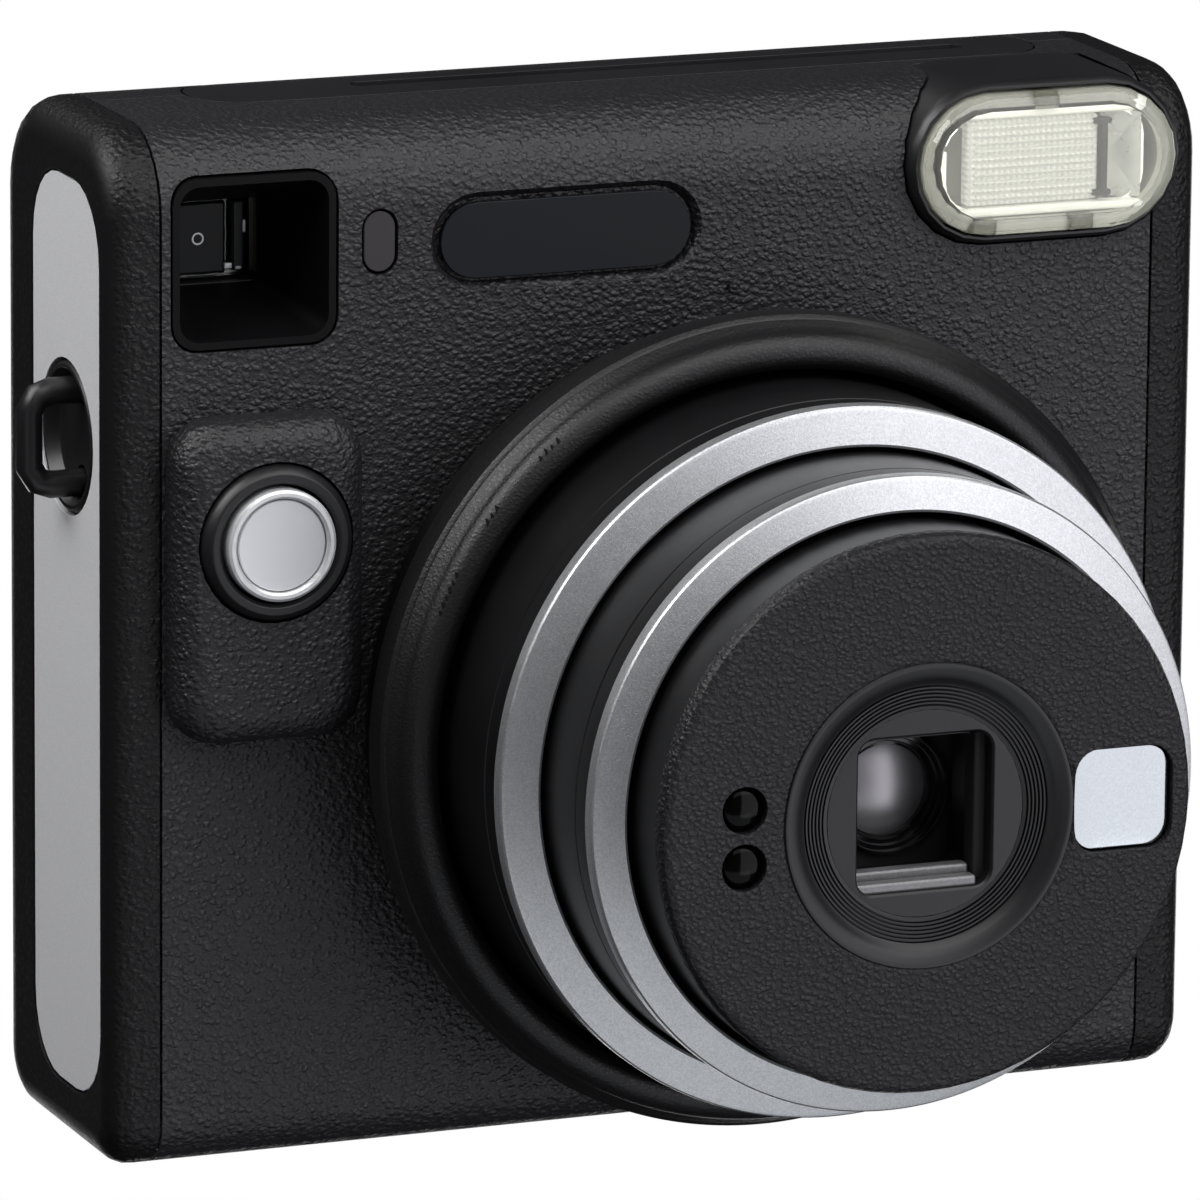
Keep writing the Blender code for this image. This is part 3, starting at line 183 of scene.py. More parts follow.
def make_floor():
    """A plain white floor. It gives no light, takes no shadow and is clear from underneath."""
    bm = bmesh.new()
    bmesh.ops.create_grid(bm, x_segments=1, y_segments=1, size=4.0)
    mesh = mesh_of("floor", bm)
    floor = bpy.data.objects.new("floor", mesh)
    SCENE.collection.objects.link(floor)
    white = shader_of("floor_white", (0, 0, 0), 1.0, Emission_Color=(1, 1, 1, 1), Emission_Strength=1.0)
    nodes, links = white.node_tree.nodes, white.node_tree.links
    nodes["Principled BSDF"].inputs["Specular IOR Level"].default_value = 0.0
    clear, mix = nodes.new("ShaderNodeBsdfTransparent"), nodes.new("ShaderNodeMixShader")
    links.new(nodes.new("ShaderNodeNewGeometry").outputs["Backfacing"], mix.inputs[0])
    links.new(nodes["Principled BSDF"].outputs[0], mix.inputs[1])
    links.new(clear.outputs[0], mix.inputs[2])
    links.new(mix.outputs[0], nodes["Material Output"].inputs["Surface"])
    mesh.materials.append(white)
    floor.location.z = -0.3 * MM
    for kind in ("diffuse", "glossy", "transmission", "volume_scatter", "shadow"):
        setattr(floor, "visible_" + kind, False)


# Materials: texture scales are per metre, and bump distances are metres


def shader_of(name, colour, roughness, metallic=0.0, **values):
    """A plain material; values are further sockets by name."""
    material = bpy.data.materials.new(name)
    material.use_nodes = True
    shader = material.node_tree.nodes["Principled BSDF"]
    shader.inputs["Base Color"].default_value = (*colour, 1)
    shader.inputs["Roughness"].default_value = roughness
    shader.inputs["Metallic"].default_value = metallic
    for key, value in values.items():
        shader.inputs[key.replace("_", " ")].default_value = value
    material.diffuse_color = (*colour, 1)
    return material


class Graph:
    """Small helper for a material's node tree."""

    def __init__(self, material):
        self.tree = material.node_tree
        self.shader = self.tree.nodes["Principled BSDF"]
        coordinates = self.tree.nodes.new("ShaderNodeTexCoord")
        self.place = coordinates.outputs["Object"]

    def node(self, kind, **settings):
        made = self.tree.nodes.new("ShaderNode" + kind)
        for key, value in settings.items():
            if key in made.inputs:
                made.inputs[key].default_value = value
            else:
                setattr(made, key, value)
        return made

    def link(self, source, target):
        self.tree.links.new(source, target)

    def shade(self, **sources):
        """Links each source to the shader's socket of that name."""
        for key, source in sources.items():
            self.link(source, self.shader.inputs[key.replace("_", " ")])

    def stretched(self, scale, turn=(0.0, 0.0, 0.0)):
        made = self.node("Mapping")
        made.inputs["Scale"].default_value = scale
        made.inputs["Rotation"].default_value = turn
        self.link(self.place, made.inputs["Vector"])
        return made.outputs[0]

    def warped(self, place, scale, amount):
        """Coordinates pushed about by noise."""
        warp = self.node("TexNoise", Scale=scale, Detail=2.0)
        self.link(place, warp.inputs["Vector"])
        centred = self.node("VectorMath", operation="SUBTRACT")
        self.link(warp.outputs["Color"], centred.inputs[0])
        centred.inputs[1].default_value = (0.5, 0.5, 0.5)
        shift = self.node("VectorMath", operation="MULTIPLY_ADD")
        self.link(centred.outputs[0], shift.inputs[0])
        shift.inputs[1].default_value = (amount, amount, amount)
        self.link(place, shift.inputs[2])
        return shift.outputs[0]

    def noise(self, scale, detail=2.0, roughness=0.5, place=None, **settings):
        made = self.node("TexNoise", Scale=scale, Detail=detail, Roughness=roughness, **settings)
        self.link(place or self.place, made.inputs["Vector"])
        return made.outputs["Fac"]

    def ramp(self, source, stops):
        made = self.node("ValToRGB")
        elements = made.color_ramp.elements
        while len(elements) < len(stops):
            elements.new(0.5)
        for element, (position, value) in zip(elements, stops):
            element.position = position
            colour = value if isinstance(value, tuple) else (value, value, value)
            element.color = (*colour, 1)
        self.link(source, made.inputs[0])
        return made.outputs["Color"]

    def pebbles(self, place, scale):
        """Soft round-topped cells with valleys between."""
        cells = self.node("TexVoronoi", Scale=scale, feature="SMOOTH_F1", Smoothness=0.3)
        self.link(place, cells.inputs["Vector"])
        made = self.node("MapRange", interpolation_type="SMOOTHSTEP")
        for socket, value in (("From Min", 0.08), ("From Max", 0.72), ("To Min", 1.0), ("To Max", 0.0)):
            made.inputs[socket].default_value = value
        self.link(cells.outputs["Distance"], made.inputs["Value"])
        return made.outputs["Result"]

    def math(self, operation, first, second):
        made = self.node("Math", operation=operation)
        for socket, value in zip(made.inputs, (first, second)):
            if isinstance(value, (int, float)):
                socket.default_value = value
            else:
                self.link(value, socket)
        return made.outputs[0]

    def bump(self, height, distance, strength=1.0, before=None):
        made = self.node("Bump", Distance=distance, Strength=strength)
        self.link(height, made.inputs["Height"])
        if before is not None:
            self.link(before, made.inputs["Normal"])
        return made.outputs["Normal"]

    def span(self, source, low, high, start=0.0, end=1.0):
        """Maps start..end to low..high."""
        made = self.node("MapRange")
        made.inputs["From Min"].default_value = start
        made.inputs["From Max"].default_value = end
        made.inputs["To Min"].default_value = low
        made.inputs["To Max"].default_value = high
        self.link(source, made.inputs["Value"])
        return made.outputs["Result"]


def leather_grain(name, colour, roughness, size=1.0, depth=1.0, smooth_from=None, gloss=0.57):
    """Grain moulded into plastic: soft pebbles about a millimetre across, between fine wrinkles. The colour
    is darker in the valleys and lighter on the pebble tops: painted shade and painted highlight.

    With smooth_from, the grain fades out towards the ends of the body beyond that x.
    """
    material = shader_of(name, colour, roughness, Specular_IOR_Level=gloss)
    graph = Graph(material)
    slanted = graph.stretched((0.88, 0.88, 1.12), (0.0, math.radians(28), 0.0))
    place = graph.warped(slanted, 900.0 / size, 0.00045 * size)
    pebbles = graph.pebbles(place, 1350.0 / size)
    small = graph.pebbles(place, 2600.0 / size)
    swell = graph.noise(260.0 / size, 2.0, 0.5)
    height = graph.math(
        "ADD",
        graph.math("MULTIPLY", pebbles, 0.75),
        graph.math("ADD", graph.math("MULTIPLY", small, 0.25), graph.math("MULTIPLY", swell, 0.45)),
    )
    relief = graph.node("Bump", Distance=0.00017 * size, Strength=depth)
    graph.link(height, relief.inputs["Height"])
    if smooth_from is not None:
        parts = graph.node("SeparateXYZ")
        graph.link(graph.place, parts.inputs[0])
        across = graph.math("ABSOLUTE", parts.outputs["X"], 0.0)
        graph.link(
            graph.span(across, depth, 0.10 * depth, smooth_from, smooth_from + 0.0012),
            relief.inputs["Strength"],
        )
    fine = graph.noise(6500.0, 2.0)
    graph.shade(Normal=graph.bump(fine, 0.000012, 0.5, relief.outputs["Normal"]))
    graph.shade(Roughness=graph.span(height, roughness + 0.10, roughness - 0.05, 0.5, 1.3))
    # Painted shade and painted highlight: the colour falls to half in the grain's valleys and rises to 1.2
    # times on the pebble tops.
    low, high = tuple(c * 0.5 for c in colour), tuple(c * 1.2 for c in colour)
    shade = graph.span(height, 0.0, 1.0, 0.4, 1.3)
    graph.shade(Base_Color=graph.ramp(shade, [(0.1, low), (0.8, high)]))
    return material


def moulded(name, colour, roughness, grain=0.000006, scale=5200.0, **values):
    """Smooth moulded plastic: a spark-eroded micro texture, and slight uneven gloss."""
    material = shader_of(name, colour, roughness, **values)
    graph = Graph(material)
    graph.shade(Normal=graph.bump(graph.noise(scale, 3.0), grain, 0.6))
    uneven = graph.noise(70.0, 3.0)
    graph.shade(Roughness=graph.span(uneven, roughness - 0.05, roughness + 0.06))
    low, high = tuple(c * 0.85 for c in colour), tuple(min(1.0, c * 1.15) for c in colour)
    graph.shade(Base_Color=graph.ramp(uneven, [(0.3, low), (0.7, high)]))
    return material


def sparkle_paint(name, colour, roughness, metallic=0.7, flake=9000.0, strength=0.3, spread=0.10):
    """Silver paint with fine metal flake, each flake tilted a little."""
    material = shader_of(name, colour, roughness, metallic)
    graph = Graph(material)
    cells = graph.node("TexVoronoi", Scale=flake, feature="F1")
    graph.link(graph.place, cells.inputs["Vector"])
    parts = graph.node("SeparateColor")
    graph.link(cells.outputs["Color"], parts.inputs[0])
    soft = graph.noise(flake * 0.35, 2.0)
    height = graph.math("ADD", parts.outputs[0], graph.math("MULTIPLY", soft, 0.6))
    graph.shade(Normal=graph.bump(height, 0.000012, strength))
    low, high = tuple(c * (1 - spread) for c in colour), tuple(min(1, c * (1 + spread)) for c in colour)
    graph.shade(Base_Color=graph.ramp(parts.outputs[1], [(0.0, low), (1.0, high)]))
    graph.shade(Roughness=graph.span(graph.noise(600.0, 2.0), roughness - 0.04, roughness + 0.05))
    return material


def clear_plastic(name, tint, roughness=0.03, ior=1.49, clear=1.0):
    """Clear plastic, very slightly wavy; below 1, clear leaves some of the tint as a milky body."""
    material = shader_of(name, tint, roughness, IOR=ior, Transmission_Weight=clear)
    graph = Graph(material)
    graph.shade(Normal=graph.bump(graph.noise(300.0, 2.0), 0.00002, 0.12))
    graph.shade(Roughness=graph.span(graph.noise(150.0, 3.0), roughness, roughness + 0.04))
    return material


def brushed(name, colour, roughness, stretch, metallic=1.0, depth=0.00001):
    """A surface with fine lines along one axis."""
    material = shader_of(name, colour, roughness, metallic)
    graph = Graph(material)
    lines = graph.noise(1.0, 4.0, 0.6, graph.stretched(stretch))
    graph.shade(Normal=graph.bump(lines, depth, 0.3))
    graph.shade(Roughness=graph.span(lines, roughness - 0.06, roughness + 0.10))
    low, high = tuple(c * 0.9 for c in colour), tuple(min(1, c * 1.05) for c in colour)
    graph.shade(Base_Color=graph.ramp(lines, [(0.3, low), (0.7, high)]))
    return material


def spun(name, colour, roughness):
    """Metal turned on a lathe: rings of fine lines round the button's own axis."""
    material = shader_of(name, colour, roughness, 1.0)
    graph = Graph(material)
    low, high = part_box("shutter_button")
    centre = (low + high) / 2
    moved = graph.node("VectorMath", operation="SUBTRACT")
    graph.link(graph.place, moved.inputs[0])
    moved.inputs[1].default_value = centre
    flat = graph.node("VectorMath", operation="MULTIPLY")
    graph.link(moved.outputs[0], flat.inputs[0])
    flat.inputs[1].default_value = (1.0, 0.0, 1.0)
    length = graph.node("VectorMath", operation="LENGTH")
    graph.link(flat.outputs[0], length.inputs[0])
    turn = graph.node("CombineXYZ")
    graph.link(length.outputs["Value"], turn.inputs[0])
    lines = graph.noise(9000.0, 3.0, 0.6, turn.outputs[0])
    graph.shade(Normal=graph.bump(lines, 0.000008, 0.35))
    graph.shade(Roughness=graph.span(lines, roughness - 0.05, roughness + 0.08))
    return material


def ribbed(name, colour, roughness):
    """A diffuser pressed with a fine square lattice. It glows a little though it is no lamp, a painted
    glow, and its colour darkens in the lattice's troughs, painted shade.
    """
    # Painted light: a faint white emission on a diffuser that is not lit.
    painted_glow = (1, 1, 0.96, 1)
    material = shader_of(name, colour, roughness, Emission_Color=painted_glow, Emission_Strength=0.20)
    graph = Graph(material)
    heights = []
    for axis in ("X", "Z"):
        wave = graph.node("TexWave", bands_direction=axis, wave_profile="SIN", Scale=430.0)
        graph.link(graph.place, wave.inputs["Vector"])
        heights.append(wave.outputs["Fac"])
    height = graph.math("MULTIPLY", heights[0], heights[1])
    graph.shade(Normal=graph.bump(height, 0.00012, 0.9))
    # Painted shade: the colour falls to 70 percent in the lattice's troughs.
    low = tuple(c * 0.70 for c in colour)
    graph.shade(Base_Color=graph.ramp(height, [(0.0, low), (0.6, colour)]))
    graph.shade(Roughness=graph.span(graph.noise(900.0), roughness - 0.05, roughness + 0.1))
    return material


MAT = {
    "leather_grain": leather_grain("leather_grain", (0.0125, 0.0117, 0.0146), 0.42),
    "satin_black": moulded("satin_black", (0.0085, 0.0085, 0.0095), 0.38),
    "matte_black": moulded("matte_black", (0.006, 0.006, 0.006), 0.75),
    "panel_silver": sparkle_paint("panel_silver", (0.68, 0.68, 0.70), 0.48, 0.15, 12000.0, 0.12),
    "steel": brushed("steel", (0.50, 0.50, 0.51), 0.35, (60.0, 4000.0, 4000.0)),
    "clear": clear_plastic("clear", (0.97, 0.975, 0.90)),
    "dark_window": moulded("dark_window", (0.034, 0.031, 0.033), 0.14, 0.000001, 5200.0, IOR=1.3),
    "gloss_plate": moulded("gloss_plate", (0.005, 0.006, 0.0085), 0.22, 0.000002, 3000.0, IOR=1.25),
    "reflector": brushed("reflector", (0.92, 0.92, 0.90), 0.14, (3000.0, 300.0, 300.0)),
    "board_green": moulded("board_green", (0.015, 0.11, 0.045), 0.45),
    "battery_jacket": moulded("battery_jacket", (0.16, 0.18, 0.22), 0.35),
    "dial_black": leather_grain("dial_black", (0.0075, 0.0073, 0.0085), 0.36, 0.6, 0.25, gloss=0.45),
    "barrel_black": moulded("barrel_black", (0.0040, 0.0040, 0.0046), 0.34, Specular_IOR_Level=0.4),
    "ring_silver": sparkle_paint("ring_silver", (0.65, 0.66, 0.675), 0.33, 0.85, 6200.0, 0.6, 0.12),
    "mirror": brushed("mirror", (0.475, 0.505, 0.525), 0.08, (4000.0, 4000.0, 4000.0), 1.0, 0.0000001),
    "lens_glass": clear_plastic("lens_glass", (0.55, 0.56, 0.62), 0.01, 1.6),
    "blade_steel": moulded("blade_steel", (0.03, 0.03, 0.03), 0.6),
    "button_silver": spun("button_silver", (0.79, 0.80, 0.82), 0.38),
    "gear_white": moulded("gear_white", (0.72, 0.70, 0.64), 0.5),
    "face_leather": leather_grain("face_leather", (0.0112, 0.0104, 0.0132), 0.42, 0.85, 0.95, gloss=0.42),
    "rear_grain": leather_grain("rear_grain", (0.0105, 0.0100, 0.0118), 0.42, 0.9, 0.7, gloss=0.5),
    "frame_leather": leather_grain(
        "frame_leather", (0.0048, 0.0046, 0.0056), 0.40, 1.0, 0.9, 65.2 * MM, 0.32
    ),
    "ribbed_diffuser_painted_glow": ribbed("ribbed_diffuser_painted_glow", (0.60, 0.61, 0.59), 0.25),
    # Painted light: white plastic with a faint emission, glowing though it is no lamp.
    "white_plastic_painted_glow": moulded(
        "white_plastic_painted_glow", (0.78, 0.79, 0.75), 0.30, Emission_Color=(1, 1, 0.95, 1), Emission_Strength=0.10
    ),
    "gloss_black": moulded("gloss_black", (0.006, 0.006, 0.007), 0.12, 0.000001),
    "sill_grey": sparkle_paint("sill_grey", (0.22, 0.22, 0.225), 0.34, 0.45, 4200.0, 1.0),
    "coated_glass": moulded("coated_glass", (0.48, 0.47, 0.49), 0.36, 0.0000005, 200.0, Metallic=0.75),
    "tab_plastic": clear_plastic("tab_plastic", (0.90, 0.90, 0.78), 0.12),
    "facet_silver": brushed("facet_silver", (0.86, 0.87, 0.85), 0.26, (400.0, 400.0, 400.0), 0.35, 0.00002),
    "rim_silver": brushed("rim_silver", (0.80, 0.81, 0.82), 0.34, (900.0, 900.0, 900.0), 0.6),
    "prism_glass": moulded("prism_glass", (0.006, 0.008, 0.009), 0.16, 0.000001, 900.0, IOR=1.22),
    "funnel_black": moulded("funnel_black", (0.0028, 0.0028, 0.0032), 0.42, 0.00001, 3200.0, IOR=1.22),
    "eye_black": moulded("eye_black", (0.0010, 0.0010, 0.0012), 0.10, 0.0000005, 900.0, IOR=1.22),
    "milk_plastic": moulded("milk_plastic", (0.36, 0.365, 0.32), 0.22, 0.00002, 700.0),
    "flash_clear": clear_plastic("flash_clear", (0.97, 0.97, 0.89), 0.04, clear=0.96),
}


# Pieces


def add_piece(name, mesh, node, material=None, replaces=False):
    """Puts a piece on the body of a CAD node, with that node's finish unless another is given."""
    piece = bpy.data.objects.new(name, mesh)
    SCENE.collection.objects.link(piece)
    mesh.materials.clear()
    mesh.materials.append(MAT[material or SLOT_OF[node]])
    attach(piece, BODY_OF[node])
    if replaces:
        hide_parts(node)
    return piece


def soften(piece, edge, angle=35.0, segments=2):
    """Rounds the sharp edges and shades the rest smooth."""
    piece.data.shade_smooth()
    piece.data.set_sharp_from_angle(angle=math.radians(angle))
    if edge:
        rounding = piece.modifiers.new("rounding", "BEVEL")
        rounding.width = edge
        rounding.segments = segments
        rounding.limit_method = "ANGLE"
        rounding.angle_limit = math.radians(angle)
        rounding.harden_normals = True
    weighted = piece.modifiers.new("weighted", "WEIGHTED_NORMAL")
    weighted.keep_sharp = True
    weighted.weight = 60
    return piece


def smooth_copy(node, edge=0.12 * MM, angle=35.0, material=None):
    """A welded copy of a CAD node with smooth shading, shown in its place."""
    weld, flat = 0.004 * MM, math.radians(0.4)
    source = NODES[node]
    mesh = source.data.copy()
    mesh.transform(source.matrix_world)
    bm = bmesh.new()
    bm.from_mesh(mesh)
    bmesh.ops.remove_doubles(bm, verts=bm.verts, dist=weld)
    bmesh.ops.dissolve_limit(
        bm, angle_limit=flat, verts=bm.verts, edges=bm.edges, use_dissolve_boundaries=False
    )
    bmesh.ops.recalc_face_normals(bm, faces=bm.faces)
    bm.to_mesh(mesh)
    bm.free()
    for name in ("custom_normal", "sharp_edge", "sharp_face"):
        if name in mesh.attributes:
            mesh.attributes.remove(mesh.attributes[name])
    return soften(add_piece(node + "_fine", mesh, node, material, True), edge, angle)


def in_mm(profile):
    """Millimetre pairs as metres."""
    return [(first * MM, second * MM) for first, second in profile]


def revolve(name, profile, node, segments, material=None, replaces=False, centre=None):
    """A profile of (reach, radius) points turned round the lens axis, or round another one."""
    x, z = centre or (LENS_X, LENS_Z)
    closed = min(radius for _, radius in profile) > 0
    bm = bmesh.new()
    loops = []
    for reach, radius in profile:
        if radius == 0:
            loops.append([bm.verts.new((x, ahead(reach), z))])
            continue
        loops.append(
            [
                bm.verts.new(
                    (
                        x + radius * math.cos(2 * math.pi * i / segments),
                        ahead(reach),
                        z + radius * math.sin(2 * math.pi * i / segments),
                    )
                )
                for i in range(segments)
            ]
        )
    pairs = list(zip(loops, loops[1:]))
    if closed:
        pairs.append((loops[-1], loops[0]))
    for first, second in pairs:
        for i in range(segments):
            j = (i + 1) % segments
            corners = [first[i % len(first)], first[j % len(first)]]
            corners += [second[j % len(second)], second[i % len(second)]]
            corners = list(dict.fromkeys(corners))
            if len(corners) > 2:
                bm.faces.new(corners)
    bmesh.ops.recalc_face_normals(bm, faces=bm.faces)
    return soften(add_piece(name, mesh_of(name, bm), node, material, replaces), 0.0, 30.0)


def outline_of(width, height, radius):
    """The points of a rounded rectangle round the origin."""
    steps, apart = 10, 1e-6
    points = []
    radius = min(radius, width / 2, height / 2)
    for corner, (side_x, side_z) in enumerate(((1, 1), (-1, 1), (-1, -1), (1, -1))):
        for step in range(steps + 1):
            angle = math.pi / 2 * (corner + step / steps)
            points.append(
                (
                    side_x * (width / 2 - radius) + radius * math.cos(angle),
                    side_z * (height / 2 - radius) + radius * math.sin(angle),
                )
            )
    joined = [points[0]]
    for point in points[1:]:
        if math.dist(point, joined[-1]) > apart:
            joined.append(point)
    if math.dist(joined[0], joined[-1]) < apart:
        joined.pop()
    return joined


def lofted(name, x, z, steps, node, material=None, replaces=False, edge=0.0, frame_like=False):
    """Rounded rectangles (width, height, radius, reach) joined in order; frame_like closes the loop."""
    bm = bmesh.new()
    loops = []
    for width, height, radius, reach in steps:
        loops.append(
            [bm.verts.new((x + px, ahead(reach), z + pz)) for px, pz in outline_of(width, height, radius)]
        )
    pairs = list(zip(loops, loops[1:]))
    if frame_like:
        pairs.append((loops[-1], loops[0]))
    for first, second in pairs:
        for i in range(len(first)):
            j = (i + 1) % len(first)
            bm.faces.new((first[i], first[j], second[j], second[i]))
    if not frame_like:
        bm.faces.new(loops[0])
        bm.faces.new(loops[-1])
    bmesh.ops.recalc_face_normals(bm, faces=bm.faces)
    return soften(add_piece(name, mesh_of(name, bm), node, material, replaces), edge, 30.0, 3)


def bar(name, low, high, node, material=None, edge=0.15 * MM):
    """A box with rounded edges between two corners."""
    low, high = Vector(low), Vector(high)
    bm = bmesh.new()
    bmesh.ops.create_cube(bm, size=1.0)
    bmesh.ops.scale(bm, vec=high - low, verts=bm.verts)
    bmesh.ops.translate(bm, vec=(low + high) / 2, verts=bm.verts)
    return soften(add_piece(name, mesh_of(name, bm), node, material), edge, 30.0, 3)


def front_bar(name, x, z, reach, node, material=None, edge=0.15 * MM):
    """A bar from (low, high) spans; reach runs forward."""
    low, high = (x[0], ahead(reach[1]), z[0]), (x[1], ahead(reach[0]), z[1])
    return bar(name, low, high, node, material, edge)


def front_box(name, middle, size, reach, node, material, edge=0.15 * MM):
    """A bar round a middle (x, z), with a size (wide, tall)."""
    (x, z), (wide, tall) = middle, (size[0] / 2, size[1] / 2)
    return front_bar(name, (x - wide, x + wide), (z - tall, z + tall), reach, node, material, edge)


def rows_of(piece, count, rise):
    """Repeats a piece upwards."""
    array = piece.modifiers.new("rows", "ARRAY")
    array.count = count
    array.use_relative_offset = False
    array.use_constant_offset = True
    array.constant_offset_displace = (0, 0, rise)


# The camera's parts


def dress_cad():
    """Gives every CAD node the finish of its slot."""
    for name, node in NODES.items():
        node.data.materials.clear()
        node.data.materials.append(MAT[SLOT_OF[name]])


def smooth_shells():
    """Welded, softly edged copies of the covers and of the other CAD parts that show."""
    smooth_copy("front_cover", 0.18 * MM)
    for node in ("rear_cover", "film_door", "battery_door"):
        smooth_copy(node, 0.18 * MM, material="rear_grain")
    for node in ("side_frame_left", "side_frame_right"):
        smooth_copy(node, 0.18 * MM, material="frame_leather")
    for node in (
        "side_panel_left",
        "side_panel_right",
        "slot_panel",
        "lug_plate",
        "viewfinder_bezel",
        "eyepiece_bezel",
        "flash_housing",
        "film_door_latch",
        "button_collar",
        "name_plate",
        "sensor_window",
        "film_chamber",
        "roller_bracket",
        "battery_holder",
        "front_roller",
        "rear_roller",
        "battery_upper",
        "battery_lower",
    ):
        smooth_copy(node, 0.12 * MM, material="funnel_black" if node == "viewfinder_bezel" else None)
    for node in ("strap_lug", "flash_window", "eyepiece_lens", "door_window", "viewfinder_window"):
        copy = smooth_copy(node, 0.0, 50.0, "flash_clear" if node == "flash_window" else None)
        copy.visible_shadow = node == "strap_lug"


def make_dial():
    """The dial, with a fine groove behind its ridge and small raised marks on its slope."""
    bore = 42.0
    profile = [(-1.9, bore), (-1.9, 42.9), (0.3, 42.9), (0.3, 44.8), (5.2, 44.8)]
    profile += [(5.9, 45.1), (6.5, 45.8), (7.1, 46.7), (7.9, 47.3), (9.0, 47.6)]
    profile += [(10.6, 47.68), (12.2, 47.6), (12.6, 47.3), (12.75, 47.08), (12.95, 47.12), (13.8, 46.6)]
    for i in range(9):
        angle = math.pi / 2 * i / 8
        profile.append((14.4 + 2.5 * math.sin(angle), 43.75 + 2.45 * math.cos(angle)))
    profile += [(16.9, 43.2), (16.6, 42.6), (15.8, bore)]
    revolve("dial_fine", in_mm(profile), "dial_ring", FINE, replaces=True)
    mark_radius, mark_rear, mark_front = 45.35 * MM, 15.2 * MM, 16.45 * MM
    for start, count in ((128.0, 4), (141.0, 3), (152.0, 6)):
        for i in range(count):
            angle = math.radians(start + 1.15 * i)
            size = 0.42 * MM if i % 2 else 0.62 * MM
            lofted(
                "dial_mark_%d_%d" % (start, i),
                LENS_X + mark_radius * math.cos(angle),
                LENS_Z + mark_radius * math.sin(angle),
                [
                    (0.36 * MM, size * 1.6, 0.15 * MM, mark_rear),
                    (0.24 * MM, size * 1.3, 0.1 * MM, mark_front),
                ],
                "dial_ring",
                "dial_black",
            )


def make_stages():
    """Barrels and flat-faced rings, each with a fine shadow line beside the ring."""
    for barrel, ring, bore, radius, inner in (
        ("outer_barrel", "outer_trim_ring", 39.2, 40.9, 36.6),
        ("middle_barrel", "middle_trim_ring", 34.3, 36.1, 32.4),
    ):
        low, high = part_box(ring)
        reach, outer = (FRONT_Y - low.y) / MM, (high.x - low.x) / 2 / MM
        depth = 3.0  # how far the ring reaches back over its barrel
        profile = [
            (reach - depth, inner),
            (reach - depth, outer - 0.15),
            (reach - depth + 0.15, outer),
            (reach - 1.45, outer),
            (reach - 1.15, outer - 0.05),
            (reach - 0.95, outer - 0.22),
            (reach - 0.82, outer - 0.6),
            (reach, inner + 0.4),
            (reach - 0.12, inner + 0.12),
            (reach - 0.4, inner),
        ]
        revolve(ring + "_fine", in_mm(profile), ring, FINE, replaces=True)
        low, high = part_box(barrel)
        rear, front, flange = FRONT_Y - high.y, FRONT_Y - low.y, (high.x - low.x) / 2
        wall = radius * MM
        profile = [
            (rear, bore * MM),
            (rear, flange),
            (rear + 2.0 * MM, flange),
            (rear + 2.3 * MM, wall),
            (front - 3.4 * MM, wall),
            (front - 3.3 * MM, wall - 0.16 * MM),
            (front - 3.1 * MM, wall - 0.16 * MM),
            (front - 3.0 * MM, wall),
            (front, wall),
            (front, bore * MM),
        ]
        revolve(barrel + "_fine", profile, barrel, FINE, replaces=True)
    smooth_copy("inner_barrel", 0.0)
    smooth_copy("lens_sleeve", 0.0)


def dome(reach, height, radius):
    """Profile points from a dome's edge in to its top."""
    steps = 8
    points = []
    for i in range(steps):
        angle = math.pi / 2 * (1 - i / steps)
        points.append((reach + height * math.cos(angle), radius * math.sin(angle)))
    return points + [(reach + height, 0.0)]


def make_face():
    """The face keeps its CAD shape. The range windows are domes and the mirror bulges a little."""
    smooth_copy("face_plate", 0.25 * MM, material="face_leather")
    for node in ("range_window_upper", "range_window_lower"):
        smooth_copy(node, 0.1 * MM, material="eye_black")
        low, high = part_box(node)
        reach = FRONT_Y - low.y
        radius = (high.x - low.x) / 2 - 0.04 * MM
        profile = [(reach - 0.1 * MM, 0.0), (reach - 0.1 * MM, radius)] + dome(reach, 0.7 * MM, radius)
        revolve(node + "_bead", profile, node, SMALL, "eye_black", centre=middle_of(node))
    low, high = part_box("selfie_mirror")
    x, z = middle_of("selfie_mirror")
    size, rear, corner = high.x - low.x, FRONT_Y - low.y - 1.4 * MM, 2.5 * MM
    edge, bulge, count = FRONT_Y - low.y - 0.45 * MM, 0.16 * MM, 12
    steps = [(size, size, corner, rear), (size, size, corner, edge)]
    for i in range(1, count):
        share = i / count
        side = size * math.sqrt(1 - share)
        steps.append((side, side, corner * side / size, edge + bulge * share))
    lofted("mirror_fine", x, z, steps, "selfie_mirror", replaces=True)


